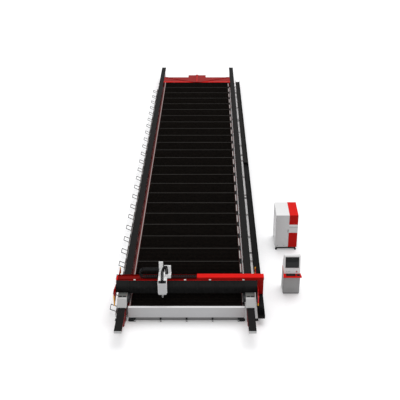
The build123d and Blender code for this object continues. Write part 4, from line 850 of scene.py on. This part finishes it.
low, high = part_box("main_chain_upper")
z = (low[2] + high[2]) / 2
folded_from = (x, low[1] + OPEN_LINKS * LINK, z)
run("main_run_upper", "main_loop", (x, low[1], z), folded_from, wide, height, even(OPEN_LINKS),
    stands_for=["main_chain_upper"])
crowded = [0.5 - math.sin(math.asin(1 - 2 * share) / 3) for share in even(FOLDED_LINKS)]
arm_foot = (x, high[1] + FOOT_OVERLAP, z)
folded = run("main_run_folded", None, folded_from, arm_foot, wide, height, crowded)
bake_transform(folded)

# %% [markdown]
# The cross chain on the beam works the same way, along X. Its upper run is short, and is drawn
# as one even run of links.

# %% Lay the cross chain
CROSS_TAIL = 1.1
CROSS_TAIL_LINKS = 16
CROSS_UPPER_LINKS = 12

low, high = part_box("cross_chain_lower")
y, z, height = (low[1] + high[1]) / 2, (low[2] + high[2]) / 2, high[2] - low[2]
deep = Vector((0, high[1] - low[1], 0))
loop_end, fixed_end = (low[0], y, z), (high[0], y, z)
lower = run("cross_run_lower", "gantry", loop_end, fixed_end, deep, height,
            even(round((high[0] - low[0]) / LINK)), stands_for=["cross_chain_lower"])
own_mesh(lower)
run("cross_run_tail", "cross_loop", loop_end, (low[0] + CROSS_TAIL, y, z), deep, height,
    even(CROSS_TAIL_LINKS), TAIL_SLIM)

low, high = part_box("cross_chain_upper")
z = (low[2] + high[2]) / 2
loop_end, carriage_end = (low[0], y, z), (high[0], y, z)
upper = run("cross_run_upper", None, loop_end, carriage_end, deep, height,
            even(CROSS_UPPER_LINKS), stands_for=["cross_chain_upper"])
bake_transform(upper)

# %% [markdown]
# ## Carriage and cutting head
# Two rubber hoses rise from glands in the top of the slide's cover, arch back over the beam, and
# go down into the side box. Each is a NURBS curve with a round bevel, and the few points of its
# route pull it into one smooth arch: up from the gland, over the top, and down into the box.

# %% Bend the hoses
HOSE_RADIUS = 0.026
HOSE_LENGTHS = (1.138, 1.188)
HOSE_ROUTES = (
    ((-0.945, -13.16, 1.575), (-0.945, -13.16, 1.975), (-0.8675, -12.925, 2.125),
     (-0.79, -12.73, 2.0), (-0.79, -12.73, 1.66)),
    ((-0.887, -13.16, 1.575), (-0.887, -13.16, 1.99), (-0.8095, -12.925, 2.135),
     (-0.732, -12.73, 2.02), (-0.732, -12.73, 1.66)),
)


def hose(name, route):
    """A smooth rubber hose with the route's points as its control points."""
    curve = bpy.data.curves.new(name, "CURVE")
    curve.dimensions = "3D"
    curve.bevel_depth = HOSE_RADIUS
    curve.bevel_resolution = 5
    curve.resolution_u = 16
    curve.use_fill_caps = True
    spline = curve.splines.new("NURBS")
    spline.points.add(len(route) - 1)
    for knot, (x, y, z) in zip(spline.points, route):
        knot.co = (*at(x, y, z), 1.0)
    spline.order_u = 3
    spline.use_endpoint_u = True
    made = bpy.data.objects.new(name, curve)
    bpy.context.scene.collection.objects.link(made)
    curve.materials.append(rubber)
    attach(made, "carriage")
    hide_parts("head_hoses")
    print(name, "route of", len(route), "points")


for number, (route, length) in enumerate(zip(HOSE_ROUTES, HOSE_LENGTHS)):
    hose(f"head_hose_{number}", route)

# %% [markdown]
# A gland clamps each hose where it enters the cover: a hexagon nut under a short cone. The
# cover's top is a dark inset plate, and two rubber guards stand at its lower front corners.

# %% Glands, top plate and corner guards
PLATE_INSET = 0.022
GUARD = 0.022
GUARD_REACH = 0.05
GUARD_PROUD = 0.004

z_low, z_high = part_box("z_cover")
bm = bmesh.new()
for route in HOSE_ROUTES:
    foot, end = at(*route[0][:2], z_high[2]), at(*route[-1])
    rod(bm, foot, foot + Vector((0, 0, 0.035)), 0.0275, 24, 0.0262)
    rod(bm, foot, foot + Vector((0, 0, 0.012)), 0.0285, 6)
    rod(bm, end, end + Vector((0, 0, 0.03)), 0.0285, 24, 0.0265)
block(bm, (z_low[0] + PLATE_INSET, z_low[1] + 0.02, z_high[2] - 0.001),
      (z_high[0] - PLATE_INSET, z_high[1] - 0.012, z_high[2] + 0.002), 0.0008, 1)
for x in (z_low[0] - GUARD_PROUD, z_high[0] + GUARD_PROUD - GUARD):
    block(bm, (x, z_low[1] - GUARD_PROUD, z_low[2] - GUARD_PROUD),
          (x + GUARD, z_low[1] + GUARD_REACH, z_low[2] + GUARD_REACH), 0.002)
piece("slide_fittings", bm, motor_black, "carriage")

# %% [markdown]
# Screws hold the cover's front and the tower. Three black seal rings sit on the head's barrel, a
# hair proud of it, and rise and fall with the head.

# %% Screws of the slide, rings of the head
TOWER_FRONT = -12.625
HEAD_AXIS = (-0.915, -13.1553)
RING_RADIUS = 0.0436

bm = bmesh.new()
for x in (z_low[0] + 0.03, z_high[0] - 0.03):
    for z in (z_low[2] + 0.09, z_high[2] - 0.04):
        screws(bm, [(x, z_low[1], z)], (0, -1, 0), radius=0.007, head=0.004)
for z in (1.7, 1.85, 2.0, 2.1):
    screws(bm, [at(x, TOWER_FRONT, z) for x in (-1.035, -0.995)], (0, -1, 0), radius=0.006)
piece("slide_screws", bm, rail_steel, "carriage")
bm = bmesh.new()
for z in (0.946, 0.978, 1.01):
    rod(bm, at(*HEAD_AXIS, z), at(*HEAD_AXIS, z + 0.01), RING_RADIUS, 32)
piece("head_rings", bm, motor_black, "head")

# %% [markdown]
# ## Control console
# The operator looks down on a sloped screen in a dark bezel. The head's face leans back, so the
# screen is drawn flat around its own middle and then stood on the face by a matrix.

# %% Stand pieces on the console's faces
SCREEN_LEAN = math.atan2(0.121, 0.423)
STRIP_LEAN = math.atan2(0.05, 0.17)

head_low, head_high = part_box("console_head")
screen_middle = ((head_low[0] + head_high[0]) / 2, -11.6365, 1.4435)


def leaning(place, lean):
    return Matrix.Translation(place) @ Matrix.Rotation(math.pi / 2 - lean, 4, "X")


def on_strip(x, z):
    """A place on the control strip under the screen, at one X and height."""
    return leaning((x, -11.755 + 0.05 * (z - 0.99) / 0.17, z), STRIP_LEAN)


def stand(bm, verts, place):
    bmesh.ops.transform(bm, matrix=place, verts=verts)


print("screen leans", round(math.degrees(SCREEN_LEAN), 1), "degrees")

# %% [markdown]
# The screen is a switched-off panel: nearly black, smooth enough to mirror the studio softly. It
# is one colour all over, so the numbers go straight onto the shader.

# %% Glaze the screen
GLASS_HALF = (0.247, 0.192)

glass = bpy.data.materials.new("screen_glass")
glass.use_nodes = True
shader = glass.node_tree.nodes["Principled BSDF"]
shader.inputs["Base Color"].default_value = shade(20, 23, 24)
shader.inputs["Roughness"].default_value = 0.12
shader.inputs["Specular IOR Level"].default_value = 0.3

bm = bmesh.new()
block(bm, (-GLASS_HALF[0], -GLASS_HALF[1], 0.0005), (*GLASS_HALF, 0.003), 0.001)
stand(bm, bm.verts, leaning(screen_middle, SCREEN_LEAN))
piece("screen", bm, glass, "bed")

# %% [markdown]
# Four strips make the bezel round the screen. The keyboard on the shelf is rows of small bevelled
# caps, with a mat and a mouse beside it. The caps are left blank.

# %% Bezel, keys and mouse
BEZEL_HALF = (0.268, 0.213)
BEZEL = 0.018
BEZEL_HEIGHT = 0.006
KEYS, KEY_ROWS = 14, 5
KEY, KEY_DEPTH = 0.0262, 0.0275
KEY_SPACE = 0.004
FIRST_KEY = (3.062, -11.918)

bm = bmesh.new()
half_x, half_y = BEZEL_HALF
for side in (-1, 1):
    inner_x, inner_y = side * (half_x - BEZEL), side * (half_y - BEZEL)
    block(bm, (side * half_x, -half_y, 0.0), (inner_x, half_y, BEZEL_HEIGHT), 0.0015)
    block(bm, (-half_x, side * half_y, 0.0), (half_x, inner_y, BEZEL_HEIGHT), 0.0015)
stand(bm, bm.verts, leaning(screen_middle, SCREEN_LEAN))
for row in range(KEY_ROWS):
    for key in range(KEYS):
        x, y = FIRST_KEY[0] + key * KEY, FIRST_KEY[1] + row * KEY_DEPTH
        cap = (x + KEY - KEY_SPACE, y + KEY_DEPTH - KEY_SPACE, 1.0065)
        block(bm, (x, y, 1.0015), cap, 0.0015, 1)
block(bm, (3.475, -11.93, 0.9895), (3.615, -11.79, 0.9935), 0.002)
block(bm, (3.52, -11.905, 0.993), (3.575, -11.815, 1.018), 0.011, 4)
piece("keys_and_bezel", bm, motor_black, "bed")

# %% [markdown]
# Three push buttons sit in steel collars on the control strip, and the stop button has a collar
# of its own. Each is a pair of turned rods that lean with the strip.

# %% Buttons on the control strip
BUTTONS_AT = (3.09, 3.15, 3.21)
BUTTON_HEIGHT = 1.085
STOP_AT = (3.486, 1.08)

bm = bmesh.new()
for x in BUTTONS_AT:
    made = rod(bm, (0, 0, -0.002), (0, 0, 0.004), 0.017, 24)
    made += rod(bm, (0, 0, 0.004), (0, 0, 0.012), 0.012, 24, 0.011)
    stand(bm, made, on_strip(x, BUTTON_HEIGHT))
stand(bm, rod(bm, (0, 0, -0.002), (0, 0, 0.003), 0.032, 32), on_strip(*STOP_AT))
piece("console_buttons", bm, rail_steel, "bed")

# %% [markdown]
# Louvres in the door and in the sides and back let the console's warm air out. They are pressed
# sheet, so low bevelled bars a few millimetres proud are enough. The door's louvres swing with
# it.

# %% Louvres of the console
bm = bmesh.new()
for row in range(6):
    z = 0.14 + row * 0.03
    block(bm, (3.17, -11.7785, z), (3.44, -11.7755, z + 0.014), 0.001, 1)
piece("console_louvres", bm, console_grey, "console_door")
bm = bmesh.new()
for row in range(8):
    z = 0.3 + row * 0.035
    for x0, x1 in ((2.9695, 2.9715), (3.6405, 3.6425)):
        block(bm, (x0, -11.62, z), (x1, -11.3, z + 0.018), 0.0006, 1)
    block(bm, (3.15, -11.1555, z), (3.46, -11.1535, z + 0.018), 0.0006, 1)
piece("console_vents", bm, console_grey, "bed")

# %% [markdown]
# ## Laser source cabinet
# The cabinet's front is a leaf with rounded edges, a hair proud of the case. The red trim beside
# it is crossed by a light band with a dark groove, the leaf has a dark pull and two small dark
# bars near its foot, and the case stands on black feet.

# %% Leaf, pull, groove and feet
FEET_X = (2.975, 3.835)
FEET_Y = (-8.41, -7.32)

bm = bmesh.new()
block(bm, (2.936, -8.4645, 0.19), (3.49, -8.4595, 1.755), 0.002)
piece("cabinet_leaf", bm, cabinet_white, "bed")
bm = bmesh.new()
block(bm, (3.502, -8.4665, 1.183), (3.878, -8.4595, 1.193), 0.001, 1)
for x in (3.0, 3.3):
    block(bm, (x, -8.467, 0.215), (x + 0.035, -8.464, 0.23), 0.001, 1)
block(bm, (3.455, -8.474, 0.92), (3.475, -8.464, 1.06), 0.003)
for x in FEET_X:
    for y in FEET_Y:
        rod(bm, (x, y, 0.0), (x, y, 0.03), 0.045, 24)
        rod(bm, (x, y, 0.03), (x, y, 0.149), 0.018, 16)
piece("cabinet_fittings", bm, motor_black, "bed")

# %% [markdown]
# Twelve rows of vents are pressed into the back and the left side, where the warm air leaves.

# %% Vents of the cabinet
bm = bmesh.new()
for row in range(12):
    z = 0.3 + row * 0.045
    block(bm, (3.1, -7.272, z), (3.7, -7.266, z + 0.022), 0.001, 1)
    block(bm, (2.919, -8.0, z), (2.9225, -7.6, z + 0.022), 0.0006, 1)
piece("cabinet_vents", bm, cover_white, "bed")

# %% [markdown]
# ## Bed details
# The bed is bolted together from twenty-five modules, and a flush grey bar closes each joint.
# From above these bars are the thin lines that cross the dark bed.

# %% Bars between the modules
MODULES = 25
MODULE = 1.01
FIRST_MODULE_Y = -13.45
BAR_HALF = 0.007

bm = bmesh.new()
for number in range(1, MODULES):
    y = FIRST_MODULE_Y + number * MODULE
    block(bm, at(-2.119, y - BAR_HALF, 0.64), at(2.119, y + BAR_HALF, 0.7005), 0.0015, 1)
module_grey = coat("module_grey", shade(74, 72, 70), rough=0.5, drift=0.1, shine=0.1)
piece("module_bars", bm, module_grey, "bed")

# %% [markdown]
# Black sockets hold the levelling feet under the front panel, and black blocks stand at its lower
# corners. A bolted grey rail runs between them behind the feet, and its mid grey is painted
# shadow: it stands for the panel's shadow on the floor.

# %% Sockets and rail under the front panel
SOCKETS_X = (-2.0, -1.0, 0.0, 1.0, 2.0)
SOCKETS_Y = -13.54
RAIL_FACE = -13.503

bm = bmesh.new()
for x in SOCKETS_X:
    rod(bm, at(x, SOCKETS_Y, 0.12), at(x, SOCKETS_Y, 0.236), 0.036, 24, 0.04)
    rod(bm, at(x, SOCKETS_Y, 0.085), at(x, SOCKETS_Y, 0.12), 0.03, 6)
for side in (-1, 1):
    block(bm, at(side * 2.03, -13.57, 0.02), at(side * 2.215, -13.42, 0.205), 0.004)
piece("black_sockets", bm, motor_black, "bed")
bm = bmesh.new()
block(bm, at(-2.03, RAIL_FACE, 0.035), at(2.03, RAIL_FACE + 0.02, 0.195), 0.003)
for x in (-1.5, -0.5, 0.5, 1.5):
    screws(bm, [at(x, RAIL_FACE, 0.07), at(x, RAIL_FACE, 0.16)], (0, -1, 0))
# Painted shadow: the rail's grey is the panel's shadow on the floor.
painted_shadow_grey = coat("painted_shadow_grey", shade(132, 132, 132), rough=0.45, drift=0.04)
piece("painted_shadow_rail", bm, painted_shadow_grey, "bed")

# %% [markdown]
# ## Gantry details
# Each truck cover has two dark slots in its top, and a dark bracket stands at its inner side,
# before the beam's end. Both drive along with the gantry.

# %% Slots and brackets of the trucks
TRUCK_MIDDLE = 2.4475
SLOT_OFFSETS = (-0.075, 0.075)
SLOT_HALF = 0.058
BRACKET_FRONT = -13.36

bm = bmesh.new()
for side in (-1, 1):
    for offset in SLOT_OFFSETS:
        x = side * TRUCK_MIDDLE + offset
        block(bm, at(x - SLOT_HALF, -13.33, 0.9985), at(x + SLOT_HALF, -13.24, 1.0012), 0.001, 1)
piece("cover_slots", bm, motor_black, "gantry")

bm = bmesh.new()
for side in (-1, 1):
    block(bm, at(side * 2.175, BRACKET_FRONT, 0.78), at(side * 2.266, -12.95, 0.96), 0.004)
    screws(bm, [at(side * x, BRACKET_FRONT, 0.82) for x in (2.195, 2.245)], (0, -1, 0))
bracket_grey = coat("bracket_grey", shade(44, 44, 46), rough=0.45, drift=0.05, shine=0.15)
piece("truck_brackets", bm, bracket_grey, "gantry")

# %% [markdown]
# Two rows of screws hold each guard along the bed. On the gantry, screws hold the raised cover,
# the wings and the truck covers. They are painted over, as a shop does that coats the bolted
# machine.

# %% Screws on guards, covers and wings
GUARD_SCREWS = 60
GUARD_SCREW_STEP = 0.5
COVER_SCREWS = 11
WING_OUTSIDE = 2.755

bm = bmesh.new()
for side in (-1, 1):
    for number in range(GUARD_SCREWS):
        y = -14.75 + GUARD_SCREW_STEP * number
        places = [at(side * 2.335, y, 0.72), at(side * 2.57, y, 0.72)]
        screws(bm, places, (0, 0, 1), radius=0.008)
piece("guard_screws", bm, guard_black, "bed")
bm = bmesh.new()
for number in range(COVER_SCREWS):
    x = 0.46 + 0.24 * number
    screws(bm, [at(x, -12.728, 1.5), at(x, -12.492, 1.5)], (0, 0, 1), radius=0.008)
for z in (0.84, 0.98):
    for y in (-13.44, -13.1, -11.85, -11.5):
        for side in (-1, 1):
            screws(bm, [at(side * WING_OUTSIDE, y, z)], (side, 0, 0), radius=0.008)
for side in (-1, 1):
    for x in (2.31, 2.585):
        for y, z in ((-13.2, 0.9998), (-12.95, 0.9998), (-12.2, 0.98)):
            screws(bm, [at(side * x, y, z)], (0, 0, 1), radius=0.007)
piece("gantry_screws", bm, frame_red, "gantry")

# %% [markdown]
# Along the right side, a black plate covers the ledge at every module joint, so that its bare
# strip reads as dashes from above. The first and last plates are cut short.

# %% Plates over the right ledge
PLATE_HALF = 0.2
PLATES_FROM, PLATES_TO = -13.4, 11.75

bm = bmesh.new()
for number in range(MODULES + 1):
    y = FIRST_MODULE_Y + number * MODULE
    y0, y1 = max(y - PLATE_HALF, PLATES_FROM), min(y + PLATE_HALF, PLATES_TO)
    block(bm, at(2.142, y0, 0.6985), at(2.238, y1, 0.7018), 0.001, 1)
piece("cover_joints", bm, guard_black, "bed")
